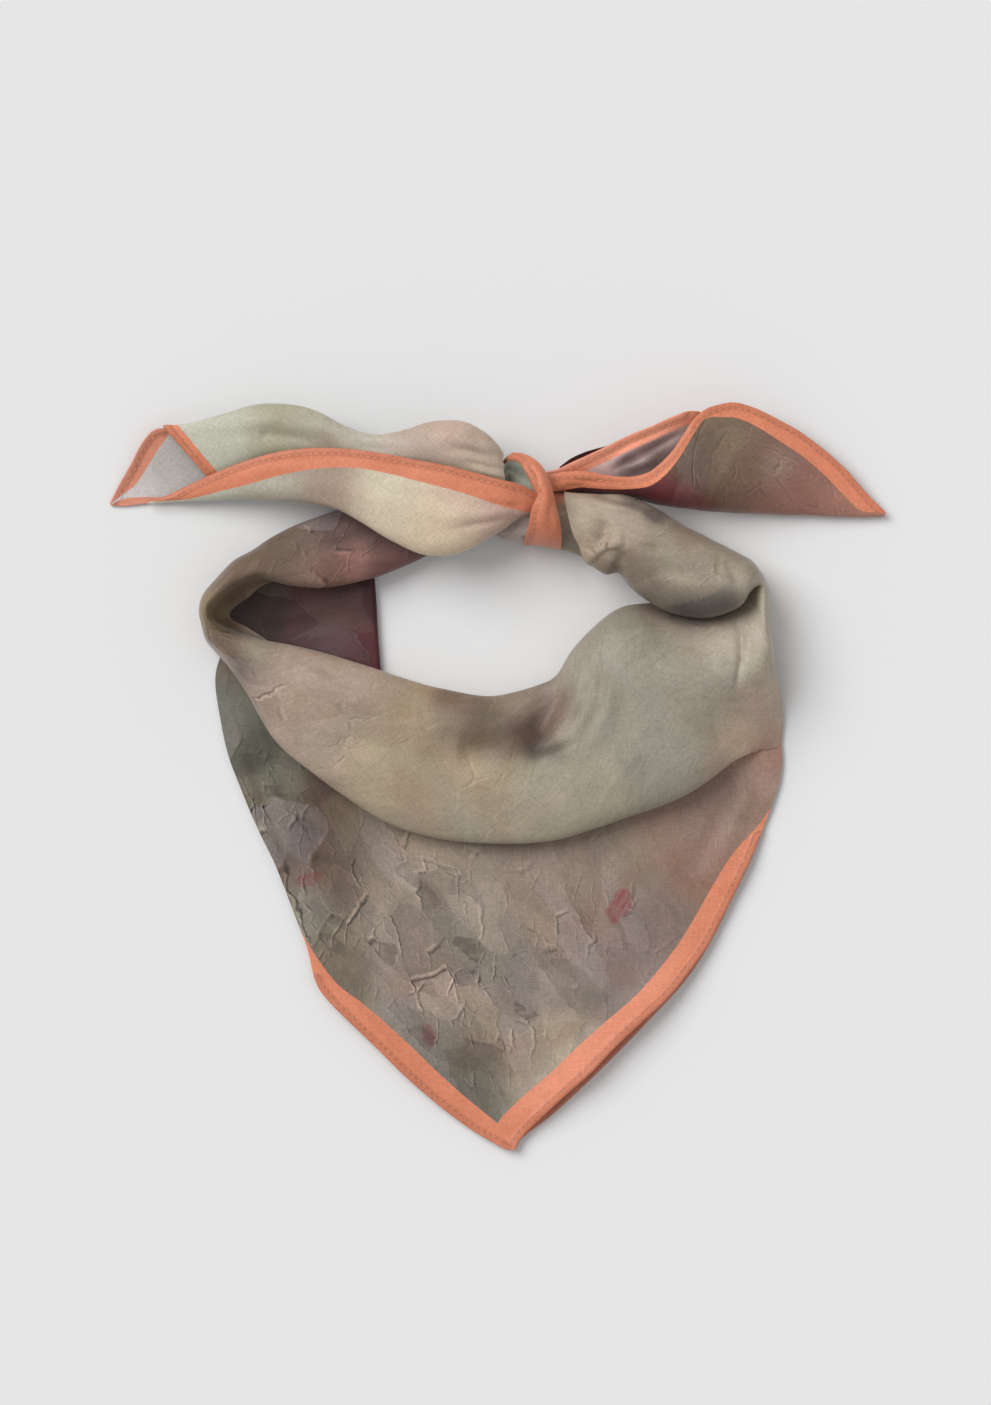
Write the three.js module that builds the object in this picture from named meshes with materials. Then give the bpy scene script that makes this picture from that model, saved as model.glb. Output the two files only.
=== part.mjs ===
// A small square silk neckerchief, folded corner to corner, its long edge rolled into a soft neck loop
// and its two ends tied in one knot, lying flat. Millimetres, +Z up, +X to the right of the loop,
// +Y from the hanging corner to the knot. The surface it lies on is Z = 0.
import * as THREE from "three";

// ---- driving sizes ----
const WALL = 1.2; // thickness of every built layer of cloth
const GAP = 0.5; // between a printed edge and the ground it borders, and where two lengths of the roll meet
const LEAF_GAP = 0.4; // kept by a tail's printed edge and its ground, each from the line between them
const FRONT_LAYER_Z = 2.4; // middle height of the hanging corner's top layer
const FOLD_UNDER = 5; // how far the inner fold turns back under itself

const GROUND = 0x9a9285; // greige printed ground
const SAGE = 0xb9b9a8; // pale end
const UMBER = 0x6e5850; // dark end
const EDGE = 0xd9805f; // orange printed edge
const REVERSE = 0xcfc8c8; // pale back of the cloth

// Each table has named columns and one row for each section of its piece.
// in/out/foot/left/right/top/bot: points of the section, X and Y
// z...: heights of those points; zTuck, tuck: end of the outer wall, turned under by tuck
// top, peak: height of the crown and where it lies from in (0) to out (1); roundIn: 1 = round inner edge, 0 = flat
// inner...: width of the printed edge along the section
const table = (columns, rows) => {
  const names = columns.split(" ");
  return rows.map((row) => Object.fromEntries(names.map((name, i) => [name, row[i]])));
};

const LEFT_BAND = table("inX inY footX footY outX outY zIn zFoot zOut zTuck tuck top peak roundIn", [
  [0.1, 84.8, -0.6, 88.1, 0.1, 99.6, 5, 1, 5, 1, 2.5, 12, 0.5, 1], // under the knot
  [-10, 82.3, -10.7, 85.2, -12.9, 103.9, 5.5, 1, 5, 1, 2.5, 12.5, 0.45, 1],
  [-24.4, 78.7, -25.1, 81.6, -30.9, 103.2, 6, 1, 5, 1, 2.5, 13, 0.4, 1], // under the left tail
  [-33.4, 75.8, -34.5, 78.7, -43.1, 100.3, 7.5, 2.6, 5.5, 1, 2.5, 13.5, 0.4, 1],
  [-46, 71.1, -47.4, 74.4, -58.2, 95.6, 9.5, 5.8, 6, 1, 2.5, 14.5, 0.38, 1], // comes out from under the tail
  [-61.1, 68.3, -62.2, 71.5, -71.2, 90.9, 10.5, 6, 6.5, 1, 2.5, 17, 0.33, 1],
  [-74.1, 68.6, -74.8, 71.1, -81.3, 85.9, 12, 6, 7, 1, 2.5, 19, 0.3, 1],
  [-84.9, 71.5, -83.8, 69, -88.5, 81.2, 15, 5.4, 7.5, 1, 2.5, 21, 0.3, 1], // lip starts to open into the pocket
  [-92.4, 69.3, -89.5, 64.3, -94.9, 77.3, 17, 5.2, 8, 1, 2, 22.5, 0.3, 1],
  [-98.2, 65.4, -93.1, 61.8, -101.1, 70.8, 18.5, 5, 8.5, 1, 1.6, 23.5, 0.35, 1],
  [-101.8, 61.8, -95.3, 59.8, -105.7, 65, 19, 5, 9, 1, 1.4, 24, 0.4, 1],
  [-102.9, 58.9, -96, 58.2, -107, 59.6, 19, 5, 9, 1, 1.4, 24, 0.42, 1], // leftmost point of the loop
  [-101.8, 56, -95.3, 56.6, -106.1, 54.2, 18.5, 5, 9, 1.2, 1.4, 23.5, 0.42, 1],
  [-98.5, 53.5, -93.1, 55.3, -104.7, 49.2, 17.5, 5.2, 9, 3, 1.6, 22.5, 0.42, 1], // meets the collar
]);

const COLLAR = table("inX inY footX footY outX outY zIn zFoot zOut zTuck tuck top peak roundIn", [
  [-98.5, 53.5, -93.1, 55.3, -104.7, 49.2, 17.5, 5.2, 9, 3, 1.6, 22.5, 0.42, 1], // meets the left band
  [-93.9, 51.7, -90.3, 53.9, -101.4, 44.9, 16, 5.4, 9, 4.4, 1.8, 21.5, 0.42, 1],
  [-88.1, 49.9, -86.3, 51.3, -96, 38.7, 14, 5.6, 8.5, 4.4, 2.2, 20.5, 0.42, 1],
  [-79.1, 48.1, -79.1, 46.7, -89.2, 28.7, 12, 5.8, 8.5, 4.4, 3, 19.5, 0.42, 1], // over the inner fold
  [-67.2, 45.6, -68.3, 42.7, -79.8, 13.2, 11, 5.8, 8.5, 4.4, 3, 19, 0.4, 1],
  [-54.6, 42, -56.1, 38.7, -66.9, 1.7, 10, 5.8, 8.5, 4.4, 3, 18.5, 0.4, 1],
  [-40.9, 37.7, -42.4, 34.4, -55, -7, 9, 5, 8.5, 4.4, 3, 18, 0.4, 1],
  [-30.9, 34.4, -32.3, 30.8, -40.6, -16, 8, 1.2, 8.5, 4.4, 3, 17.5, 0.4, 1],
  [-20.8, 31.7, -21.9, 27.9, -26.2, -21, 7.5, 1, 8.5, 4.4, 3, 17, 0.42, 1],
  [-11.4, 29.6, -11.8, 25.8, -13.2, -23.2, 7.5, 1, 8.5, 4.4, 3, 17, 0.42, 1], // middle of the collar
  [-2.4, 28.8, -2.1, 25.1, -0.3, -23.9, 7.5, 1, 8.5, 4.4, 3, 17, 0.45, 1],
  [6.2, 30.3, 7.3, 26.9, 11.3, -23.5, 7.5, 1, 8.5, 4.4, 3, 17, 0.5, 1],
  [14.1, 32.6, 15.9, 29.4, 23.1, -22.1, 8, 1, 8.5, 4.4, 3, 17.5, 0.55, 1], // pinch in the neck edge
  [21, 36.2, 23.1, 33, 34.7, -18.5, 9, 1, 9, 4.4, 3, 19.5, 0.52, 1],
  [26.4, 44.5, 29.3, 41.6, 46.2, -14.5, 10, 1, 9, 4.4, 3, 22, 0.45, 1],
  [31.8, 51, 34.7, 47.7, 57, -10.9, 11, 1, 9, 4.4, 3, 24, 0.42, 1],
  [39, 57.6, 41.5, 53.9, 67.8, -6.3, 11, 1, 9.5, 4.4, 3, 25.5, 0.42, 1], // right lobe
  [45.8, 61.1, 48, 57.1, 76.8, -0.5, 9.5, 1, 9.5, 4.4, 3, 26, 0.44, 0.5],
  [54.1, 62.3, 55.5, 58.5, 85.8, 6.2, 7.5, 1, 9.5, 4.4, 3, 26, 0.48, 0], // goes under the right band
  [62.7, 63.2, 63.8, 59.6, 93.7, 11, 6, 1, 10, 4.4, 3, 25.5, 0.52, 0],
  [71, 63.6, 71.7, 60.3, 99.8, 13.2, 5.5, 1, 10, 4.4, 3, 25, 0.56, 0],
  [77.5, 63.9, 78.2, 61.1, 102.3, 18.9, 5.5, 1, 10.5, 4.4, 3, 24.5, 0.6, 0], // lobe's outer corner
  [82.5, 64.7, 83.6, 62.1, 101.8, 27.2, 5.5, 1, 11, 4.4, 3, 24, 0.62, 0],
  [86.5, 65.4, 87.9, 63.6, 100.5, 36.2, 5.5, 1, 11, 4, 2.5, 23.5, 0.64, 0],
  [89, 66.5, 90.8, 65.4, 98.9, 45.2, 6, 1, 11, 2.5, 2, 23, 0.66, 0],
  [90.5, 67.5, 92.3, 67, 97.5, 53.5, 6.5, 1, 11, 1.5, 2, 22.5, 0.66, 0],
  [91, 68.6, 92.8, 68.6, 96.6, 60.3, 7, 1, 11, 1.2, 1.5, 22, 0.66, 0], // right turn
]);

const RIGHT_BAND = table("inX inY footX footY outX outY zIn zFoot zOut zTuck tuck top peak roundIn", [
  [92.3, 70.2, 93.5, 70.6, 97.3, 64.7, 15, 13.8, 11, 1.2, 1.4, 22.5, 0.55, 1], // right turn
  [91.5, 67.9, 93, 69.7, 95.9, 70.1, 17, 15, 11, 1.2, 1.6, 24, 0.5, 1],
  [89.7, 65.4, 91.2, 67.9, 93.3, 74.7, 17.8, 15, 11, 1.2, 2, 26, 0.45, 1],
  [87.6, 61.8, 88.7, 64.7, 90.8, 77.6, 18, 14.5, 11, 1.2, 2.5, 27.5, 0.45, 1], // on the collar's lobe
  [83.6, 59.4, 84.3, 62.5, 87.6, 79.4, 18, 15, 11, 1.2, 2.5, 28, 0.45, 1],
  [78.6, 57.8, 78.9, 61.1, 82.5, 82.1, 18, 15, 11, 1.2, 2.5, 28.5, 0.45, 1],
  [72.5, 57.1, 73.2, 60.3, 77.5, 84.6, 18, 15, 11, 1.4, 2.5, 28.5, 0.45, 1],
  [65.6, 58, 66.3, 61.1, 72.5, 87.2, 17.5, 14.5, 11.5, 3, 2.5, 28.5, 0.45, 1],
  [59.1, 60.3, 59.9, 63.2, 66, 90.4, 17, 14, 12.5, 7, 2.5, 28.5, 0.45, 1],
  [52.7, 64.1, 53.4, 66.8, 58.8, 94.9, 16, 12.5, 16, 13.5, 2.5, 28, 0.45, 1],
  [47.6, 68.3, 48.3, 71.1, 52.3, 98.5, 15, 10, 18.5, 16.5, 2.5, 27.5, 0.45, 1], // beside the right tail
  [43.7, 73.1, 44.4, 76.2, 45.5, 100.8, 15, 9.5, 19.5, 17.5, 2.5, 27, 0.45, 1],
  [39, 72.6, 39.3, 75.5, 38.3, 101.2, 16, 12, 19.5, 17.5, 2.5, 26, 0.5, 1], // curled puff at the lower edge
  [36.1, 74, 35.7, 76.9, 32.1, 101.4, 17.5, 15.5, 19.5, 17.5, 2.5, 25, 0.5, 1],
  [34.3, 75.8, 33.2, 78.3, 27.8, 101.6, 18.5, 17, 19.5, 17.8, 2, 24, 0.5, 1],
  [30.5, 80.9, 29.6, 83.4, 24.6, 101.7, 19.5, 18, 19.5, 18, 1.6, 22.5, 0.5, 1], // edge of the flap at the knot
]);

const RIGHT_BAND_NECK = table("inX inY footX footY outX outY zIn zFoot zOut zTuck tuck top peak roundIn", [
  [24.4, 82.1, 24.2, 84.8, 21.5, 100.7, 6, 1, 7, 2, 2.5, 12.5, 0.5, 1], // comes out of the knot
  [27.5, 80.9, 27.5, 83.7, 24.6, 100.7, 6, 1, 7, 2, 2.5, 13, 0.5, 1],
  [31.1, 79.1, 31.1, 81.9, 27.8, 100.3, 6, 1, 7, 2, 2.5, 13, 0.5, 1],
  [33.9, 77.3, 33.9, 80.1, 30.7, 99.6, 5, 1, 6, 2, 2.5, 11.5, 0.5, 1], // hidden under the flap
]);

const INNER_FOLD = table("leftX leftY rightX rightY zLeft zRight sag", [
  [-84.9, 66.5, -46.7, 73.3, 2.6, 4.2, 0], // under the left band
  [-90.6, 63.2, -45.6, 66.5, 2.6, 4.2, -0.6],
  [-92.8, 60, -45.1, 59.3, 2.6, 3.9, -0.9],
  [-92.8, 57.5, -44.5, 51.7, 2.6, 3.6, -0.9],
  [-90.6, 54.9, -44, 44.9, 2.6, 3.6, -0.6],
  [-86.3, 49.5, -43.3, 35.9, 2.6, 3.4, 0], // under the collar
]);

const BIB = table("leftX leftY rightX rightY dip crown innerL innerR", [
  [-102.1, 43.1, 97.3, 27.6, 15.8, 0.1, 0, 0], // hidden under the collar
  [-101.1, 34.1, 100.5, 19.7, 14.4, 0.2, 0, 0],
  [-99.3, 18.2, 102.3, 8.9, 10.8, 0.3, 0, 0],
  [-96.7, 7.1, 101.6, -0.5, 7.9, 0.3, 0, 0],
  [-93.9, -0.5, 99.1, -9.1, 5, 0.3, 0, 0],
  [-88.8, -13.1, 95.9, -17.4, 2.2, 0.3, 0, 2.2], // right border begins
  [-84.5, -22.5, 93, -25.3, 0.7, 0.4, 0, 7.9],
  [-79.5, -32.9, 89.7, -32.9, 0, 1.8, 0, 10.1],
  [-72.3, -51.6, 80.4, -51.6, 0, 3, 0, 10.8],
  [-68.5, -61.7, 75, -61.7, 0, 3, 1.4, 11.2], // left border begins
  [-65.4, -73.9, 66, -73.9, 0, 2.6, 7.2, 11.9],
  [-60.7, -80.8, 59.9, -80.8, 0, 2.4, 11.2, 12.6],
  [-53.2, -88.3, 51.6, -88.3, 0, 2.1, 12.6, 13],
  [-43.8, -97.3, 42.2, -97.3, 0, 1.8, 13, 13.7],
  [-34.8, -106.3, 33.6, -106.3, 0, 1.4, 13.3, 14.4],
  [-25.1, -115, 23.9, -115, 0, 1, 13.3, 14.8],
  [-15.7, -122.5, 15.9, -122.5, 0, 0.6, 13, 14.4],
  [-8.5, -127.6, 10.9, -127.4, 0, 0.3, 9, 9.4],
  [-2.4, -131.2, 8, -130.8, 0, 0.1, 5, 5],
  [3, -134.2, 6.6, -134.1, 0, 0, 1.4, 1.8], // tip
]);

const BACK_OUTLINE = table("leftX leftY rightX rightY", [
  [-98.5, 20.4, 100.2, 19.7], // hidden under the collar
  [-96.7, 8.9, 100.5, 7.4],
  [-92.4, -0.5, 97.3, -9.1],
  [-83.1, -22.5, 91.5, -25.3],
  [-70.8, -51.6, 80.7, -51.6],
  [-65.4, -71.1, 69.2, -71.1],
  [-52.5, -87.3, 54.8, -87.3],
  [-34.1, -105.3, 37.2, -105.3],
  [-15, -121.5, 19.9, -121.5],
  [-1.7, -130.1, 9.5, -129.4],
  [3.7, -133, 6.2, -133], // tip
]);

const LEFT_TAIL_UNDER = table("topX topY botX botY zTop zBot zMid innerTop innerBot", [
  [-139.6, 98.3, -139.2, 97.6, 1, 1, 1, 0.4, 0.4], // tip
  [-136, 105.3, -134.5, 97.4, 2.2, 1.2, 1.4, 3.6, 2.2],
  [-132, 112.2, -128.4, 98.1, 3.4, 1.5, 2, 7.2, 2.2],
  [-127.7, 120.1, -121.6, 99, 5, 1.8, 2.6, 7.9, 1.4],
  [-123, 124.8, -114.7, 99.4, 6, 2.1, 2.7, 2.9, 0], // outer corner folds over
  [-115.1, 125.3, -107.2, 99.4, 6.5, 2.6, 3, 0, 0],
  [-104.3, 127.7, -99.3, 99.6, 7, 3.4, 3.8, 0, 0],
  [-92.8, 131.3, -90.6, 99.6, 8.5, 5.3, 5.8, 0, 0],
  [-80.2, 132.7, -78.7, 99.2, 10, 9, 9, 0, 0],
  [-69.4, 131.6, -69, 98.7, 12.5, 11.8, 11.8, 0, 0],
  [-55, 124.8, -56.8, 96, 16.5, 16.8, 16.4, 0, 0], // crosses the left band
  [-38.8, 121.9, -40.9, 87.3, 17.5, 17.2, 17, 0, 0],
  [-18.3, 126.2, -23.7, 79.8, 18, 17, 17.2, 0, 0],
  [-7.1, 123.7, -9.3, 83.7, 18, 17, 17.4, 0, 0],
  [-0.3, 117.6, -0.6, 88.4, 18, 17.4, 17.6, 0, 0], // reaches the knot
]);

const LEFT_TAIL_UPPER = table("inX inY outX outY zIn zOut zTuck tuck top peak", [
  [-102.9, 106.8, -117.6, 125.3, 7.4, 9, 8.6, 1, 9.6, 0.55], // hem that crosses the tip
  [-97.8, 106.4, -108.6, 126.9, 8, 10.5, 9.4, 1.6, 12, 0.55],
  [-90.6, 107.5, -98.5, 130, 9.6, 12, 10.4, 2, 15, 0.58],
  [-82, 108.9, -87.4, 133.1, 11.6, 13.5, 11.6, 2, 18, 0.62], // puff
  [-73.3, 110.4, -75.9, 133.4, 14.2, 15, 13.4, 2, 20, 0.64],
  [-64, 111.1, -65.1, 130.9, 16.6, 17, 15.8, 2, 20.5, 0.62], // valley
  [-53.9, 111.1, -54.6, 125.3, 18.6, 19.5, 18.6, 1.8, 22, 0.6],
  [-43.8, 110, -43.8, 122.3, 20, 21, 19.6, 1.8, 23.5, 0.6], // narrowest
  [-33.7, 108.6, -33.4, 123.9, 21, 22, 20, 2, 26, 0.6],
  [-23.7, 106.8, -23.3, 126.9, 20.8, 22, 20, 2, 27.4, 0.62],
  [-13.6, 104.3, -12.9, 127.1, 20.8, 22, 20, 2, 28.2, 0.62], // puff by the knot
  [-5.7, 102.1, -4.9, 123.3, 20.6, 21.8, 20.2, 2, 27.2, 0.58],
  [-0.3, 100.7, -0.3, 119, 20.4, 21.6, 20.2, 2, 25.8, 0.52],
  [3, 100.3, 1.9, 115.8, 20.2, 21.4, 20.2, 1.6, 24.4, 0.5], // reaches the knot
]);

const LEFT_TAIL_LOWER = table("inX inY outX outY zIn zOut zTuck tuck top peak inner", [
  [-124.5, 99.6, -125.9, 98.2, 3.6, 3.4, 3.2, 0.3, 3.9, 0.5, 1.1], // turns over at the lower edge
  [-119.4, 100.8, -119.4, 98.8, 4.2, 3.8, 3.4, 0.4, 4.8, 0.5, 1.8],
  [-112.2, 104.1, -111.5, 99, 6.2, 4.6, 3.9, 0.6, 6.9, 0.45, 4.7],
  [-105, 107.5, -103.9, 99.2, 9.4, 5.6, 4.4, 1, 10.4, 0.35, 6.8],
  [-97.8, 110.4, -96.7, 99.4, 12.6, 7, 5.6, 1.4, 13.2, 0.3, 7.6],
  [-89.9, 113.3, -88.8, 99.4, 16, 9, 7.8, 1.8, 16.4, 0.28, 8.6],
  [-80.2, 116, -78.7, 98.9, 19.5, 12, 10.8, 2, 19.8, 0.28, 8.6],
  [-70.5, 117.4, -69, 98.3, 22, 15, 13.8, 2, 22.3, 0.28, 7.9],
  [-60.4, 117.6, -58.6, 96.2, 23.6, 19.5, 18.4, 2, 24.4, 0.35, 7.2], // rests on the left band
  [-50.3, 116.9, -48.9, 91.3, 25, 20.5, 18.9, 2, 26.2, 0.4, 6.7],
  [-40.2, 115.4, -38.1, 84.8, 26.2, 20.5, 18.8, 2, 27.4, 0.4, 7],
  [-29.4, 113.3, -26.5, 79.6, 27, 20.5, 18.8, 2, 28.2, 0.4, 7.7],
  [-17.9, 111.1, -15.4, 79.8, 27.8, 20.5, 18.8, 2, 28.8, 0.38, 8.5],
  [-7.8, 108.6, -6.4, 83.7, 27.8, 20.5, 18.8, 2, 28.6, 0.35, 9],
  [0.8, 106.2, 1.5, 88.4, 27.4, 20.5, 19, 2, 28, 0.35, 9.5],
  [7.7, 104.6, 6.2, 91.7, 25.6, 20.5, 19.4, 1.6, 26.2, 0.35, 9.4],
  [12.3, 102.5, 9.8, 93.6, 24.2, 21, 20.4, 1, 25, 0.4, 8.6], // goes into the knot
]);

const RIGHT_TAIL_BACK = table("topX topY botX botY zTop zBot zMid innerTop innerBot", [
  [21.3, 109.7, 22.1, 104.6, 17, 8.6, 13, 4.3, 0], // comes out of the knot
  [26.4, 112.2, 27.8, 104.6, 18.5, 7.4, 12.2, 4, 0],
  [31.4, 114.3, 33.9, 104.3, 19.5, 6.6, 11.4, 4.3, 0],
  [37.9, 117, 40.1, 103.2, 20, 6.4, 10.8, 4.7, 0],
  [46.5, 121.5, 48.3, 102.5, 20.5, 5.4, 10, 5, 0],
  [54.8, 125.1, 56.6, 101, 20.5, 4.2, 9.2, 4.7, 0],
  [62.7, 128.6, 64.5, 99.6, 19.5, 2.6, 8, 4.3, 0],
  [69.9, 130.7, 71.7, 98.9, 17, 2, 6.6, 3.6, 0], // hems cross
  [78.6, 129.1, 80.7, 98.1, 13, 1.6, 5, 0, 0], // hidden under the front sheet
  [89, 128, 90.8, 97.6, 10, 1.5, 4.4, 0, 0],
  [103.4, 120.8, 104.5, 97.4, 6.4, 1.3, 2.8, 0, 0],
  [118.2, 108.9, 118.5, 97.1, 3.2, 1.1, 1.6, 0, 0],
  [126.8, 101.4, 126.8, 96.3, 1.5, 1, 1.1, 0, 0], // under the tip
]);

const RIGHT_TAIL_FRONT = table("inX inY outX outY zIn zOut zTuck tuck top peak inner", [
  [21, 108.8, 21.7, 102.6, 20.5, 14, 12.6, 1.4, 20.9, 0.3, 5.6], // comes out of the knot
  [26, 109.3, 26.4, 102.1, 20.6, 12.5, 10.8, 1.5, 21, 0.3, 6.5],
  [31.8, 109.3, 32.1, 101.6, 20.6, 11.6, 9.4, 1.6, 21, 0.3, 6.8],
  [39, 107.9, 39, 100.8, 20.6, 11, 8.8, 1.8, 21, 0.3, 5.8],
  [47.3, 107.5, 48.3, 99.8, 20.8, 10.5, 8.2, 1.8, 21.2, 0.3, 4.7],
  [53.7, 108.9, 56.6, 98, 21.2, 9, 6.8, 1.8, 21.6, 0.3, 4.7],
  [58.4, 112.4, 63.5, 96.9, 21.6, 7.5, 5, 1.8, 22, 0.3, 4.7],
  [62.7, 116.9, 69.9, 96.2, 21.8, 6.5, 4.2, 1.8, 22.4, 0.3, 4.3],
  [66.3, 122.3, 75.7, 95.6, 22, 5.5, 3.8, 1.8, 22.8, 0.3, 4.1],
  [69.6, 127.3, 80.7, 95.3, 21.6, 5, 3.5, 1.8, 22.6, 0.3, 3.8], // front hem rises over the back hem
  [73.5, 131.1, 85.4, 94.9, 20.4, 4.6, 3.3, 1.8, 21.4, 0.3, 3.1],
  [78.6, 133.2, 89.7, 94.7, 18.2, 4.4, 3.2, 1.8, 19.6, 0.3, 4.7],
  [84.7, 134.1, 94.1, 94.5, 15.8, 4.2, 3.1, 1.8, 17.6, 0.3, 6.1], // top of the outer edge
  [91.5, 132.5, 99.5, 94.4, 13.6, 4, 3, 1.8, 15.4, 0.3, 7.6],
  [100.2, 128.4, 105.6, 94.2, 11.2, 3.8, 2.9, 1.6, 12.8, 0.3, 8.8],
  [108.8, 123.9, 111.7, 94, 9, 3.6, 2.8, 1.5, 10.4, 0.3, 9.4],
  [116.7, 117.8, 118.2, 93.8, 7, 3.4, 2.8, 1.3, 8.2, 0.32, 9.7],
  [124.3, 111.1, 124.3, 93.6, 5.6, 3.2, 2.8, 1, 6.4, 0.35, 10.1],
  [131.1, 103.5, 130.1, 93.5, 4.2, 3, 2.8, 0.7, 4.8, 0.4, 7.9],
  [136.5, 97.8, 135.5, 93.7, 3.2, 2.8, 2.7, 0.3, 3.5, 0.45, 2.9],
  [139.4, 95, 139.1, 94.2, 2.8, 2.7, 2.6, 0.1, 2.9, 0.5, 0.5], // tip
]);

const RIGHT_TAIL_REAR = table("topX topY botX botY zTop zBot zMid innerTop innerBot", [
  [22.1, 111.1, 22.4, 110, 13, 12, 12.6, 0, 0],
  [26.4, 114.2, 27.5, 112.2, 15, 13, 14.4, 0, 0],
  [31.1, 116.3, 32.5, 114.3, 16.5, 14.5, 15.8, 0, 0],
  [35.4, 117.6, 36.5, 116.1, 17, 15.6, 16.6, 0, 0],
  [39, 118.5, 39.3, 117.8, 16.8, 16, 16.6, 0, 0],
]);

const KNOT_WRAP = table("leftX leftY rightX rightY z dome", [
  [5.1, 111.8, 11.3, 110.7, 10, 0], // turned under at the back
  [3.7, 113.3, 13.1, 112.9, 16.5, 0.4],
  [3.9, 114.2, 14.9, 112, 22.5, 0.8],
  [6.6, 113.6, 17, 109.7, 27, 1],
  [9.8, 110.4, 18.6, 106.4, 29.6, 1.2], // over the tail's hem
  [12.3, 105.7, 19.5, 102.8, 30.6, 1.2],
  [15, 100.7, 20.4, 98.9, 31, 1], // waist where it crosses
  [13.4, 97.1, 21.2, 95.3, 30.6, 1.2],
  [11.4, 92, 21.9, 90.9, 28.6, 1.4],
  [10.5, 87.7, 22.6, 86.3, 24, 1.4],
  [9.6, 85, 22.8, 83.2, 17, 1],
  [9.5, 84.1, 22.8, 81.9, 9, 0.4],
  [10.9, 84.8, 21.3, 83, 2.6, 0], // turned under at the front
]);

const KNOT_CORE = table("X Y z ry rz", [
  [1.9, 101, 9.5, 5, 4.5],
  [3.7, 101.4, 10, 7, 6],
  [7.3, 100.7, 10.5, 9, 7],
  [11.6, 99.2, 11.5, 10, 7.6],
  [15.6, 97.8, 13, 10.3, 10.6],
  [18.8, 96.7, 11.5, 9.5, 8.6],
  [20.1, 96.3, 10, 7, 5],
]);

// Long soft dents pressed into the crown of a roll: from (x1, y1) to (x2, y2), Gaussian across
const DENTS = table("x1 y1 x2 y2 width depth", [
  [22, 36, 9, 16, 7, 5.0], // pinch from the neck edge
  [9, 16, -8, 6, 6, 3.0],
  [-60, 30, -20, 2, 5, 1.6], // long drag lines on the left of the collar
  [-35, 26, 5, -6, 6, 1.8],
  [82, 52, 87, 30, 3, 2.2], // short crease below the right turn
  [34, 86, 41, 74, 4, 3.0], // behind the curled puff at the knot
]);

// ---- curves through a table's rows ----
const quarter = (u) => Math.min(1, Math.max(0, u)) * (Math.PI / 2);

// value of a column at row position s, on a Catmull-Rom curve through the rows
function column(rows, key, s) {
  const last = rows.length - 1;
  const i = Math.min(last - 1, Math.max(0, Math.floor(s)));
  const t = s - i;
  const b = rows[i][key];
  const c = rows[i + 1][key];
  const a = i > 0 ? rows[i - 1][key] : 2 * b - c;
  const d = i < last - 1 ? rows[i + 2][key] : 2 * c - b;
  const m1 = (c - a) / 2;
  const m2 = (d - b) / 2;
  const t2 = t * t;
  const t3 = t2 * t;
  return (2 * t3 - 3 * t2 + 1) * b + (t3 - 2 * t2 + t) * m1 + (-2 * t3 + 3 * t2) * c + (t3 - t2) * m2;
}

const section = (rows, s) => Object.fromEntries(Object.keys(rows[0]).map((key) => [key, column(rows, key, s)]));

// how far the dents lower a point of a crown
function dent(x, y) {
  let z = 0;
  for (const d of DENTS) {
    const dx = d.x2 - d.x1;
    const dy = d.y2 - d.y1;
    const t = Math.min(1, Math.max(0, ((x - d.x1) * dx + (y - d.y1) * dy) / (dx * dx + dy * dy)));
    const r = Math.hypot(x - d.x1 - t * dx, y - d.y1 - t * dy) / d.width;
    z -= d.depth * Math.exp(-r * r);
  }
  return z;
}

// Points of a rolled section from its foot, up the inner wall, over the crown and down the outer wall.
// steps: [inner wall, inner slope, outer slope, outer wall]
function rollSection(c, steps) {
  const points = [];
  const crownX = c.inX + c.peak * (c.outX - c.inX);
  const crownY = c.inY + c.peak * (c.outY - c.inY);
  const width = Math.hypot(c.outX - c.inX, c.outY - c.inY);
  const add = (x, y, z, high) => points.push(new THREE.Vector3(x, y, z + high * dent(x, y)));
  if (steps[0])
    for (let i = steps[0]; i > 0; i--) {
      const a = quarter(i / steps[0]);
      const h = 1 - Math.cos(a);
      add(c.inX + (c.footX - c.inX) * h, c.inY + (c.footY - c.inY) * h, c.zIn + (c.zFoot - c.zIn) * Math.sin(a), 0);
    }
  for (let i = 0; i <= steps[1]; i++) {
    const a = quarter(i / steps[1]);
    const h = c.roundIn * (1 - Math.cos(a)) + (1 - c.roundIn) * (i / steps[1]);
    add(c.inX + (crownX - c.inX) * h, c.inY + (crownY - c.inY) * h, c.zIn + (c.top - c.zIn) * Math.sin(a), Math.sin(a));
  }
  for (let i = steps[2] - 1; i >= 0; i--) {
    const a = quarter(i / steps[2]);
    const h = 1 - Math.cos(a);
    add(c.outX + (crownX - c.outX) * h, c.outY + (crownY - c.outY) * h, c.zOut + (c.top - c.zOut) * Math.sin(a), Math.sin(a));
  }
  for (let i = 1; i <= steps[3]; i++) {
    const a = quarter(i / steps[3]);
    const h = ((1 - Math.cos(a)) * c.tuck) / width;
    add(c.outX + (c.inX - c.outX) * h, c.outY + (c.inY - c.outY) * h, c.zOut + (c.zTuck - c.zOut) * Math.sin(a), 0);
  }
  return points;
}

// Grid of a roll between row positions from and to, with n sections
const rollGrid = (rows, n, steps, from = 0, to = rows.length - 1) =>
  Array.from({ length: n + 1 }, (_, i) => rollSection(section(rows, from + ((to - from) * i) / n), steps));

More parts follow.
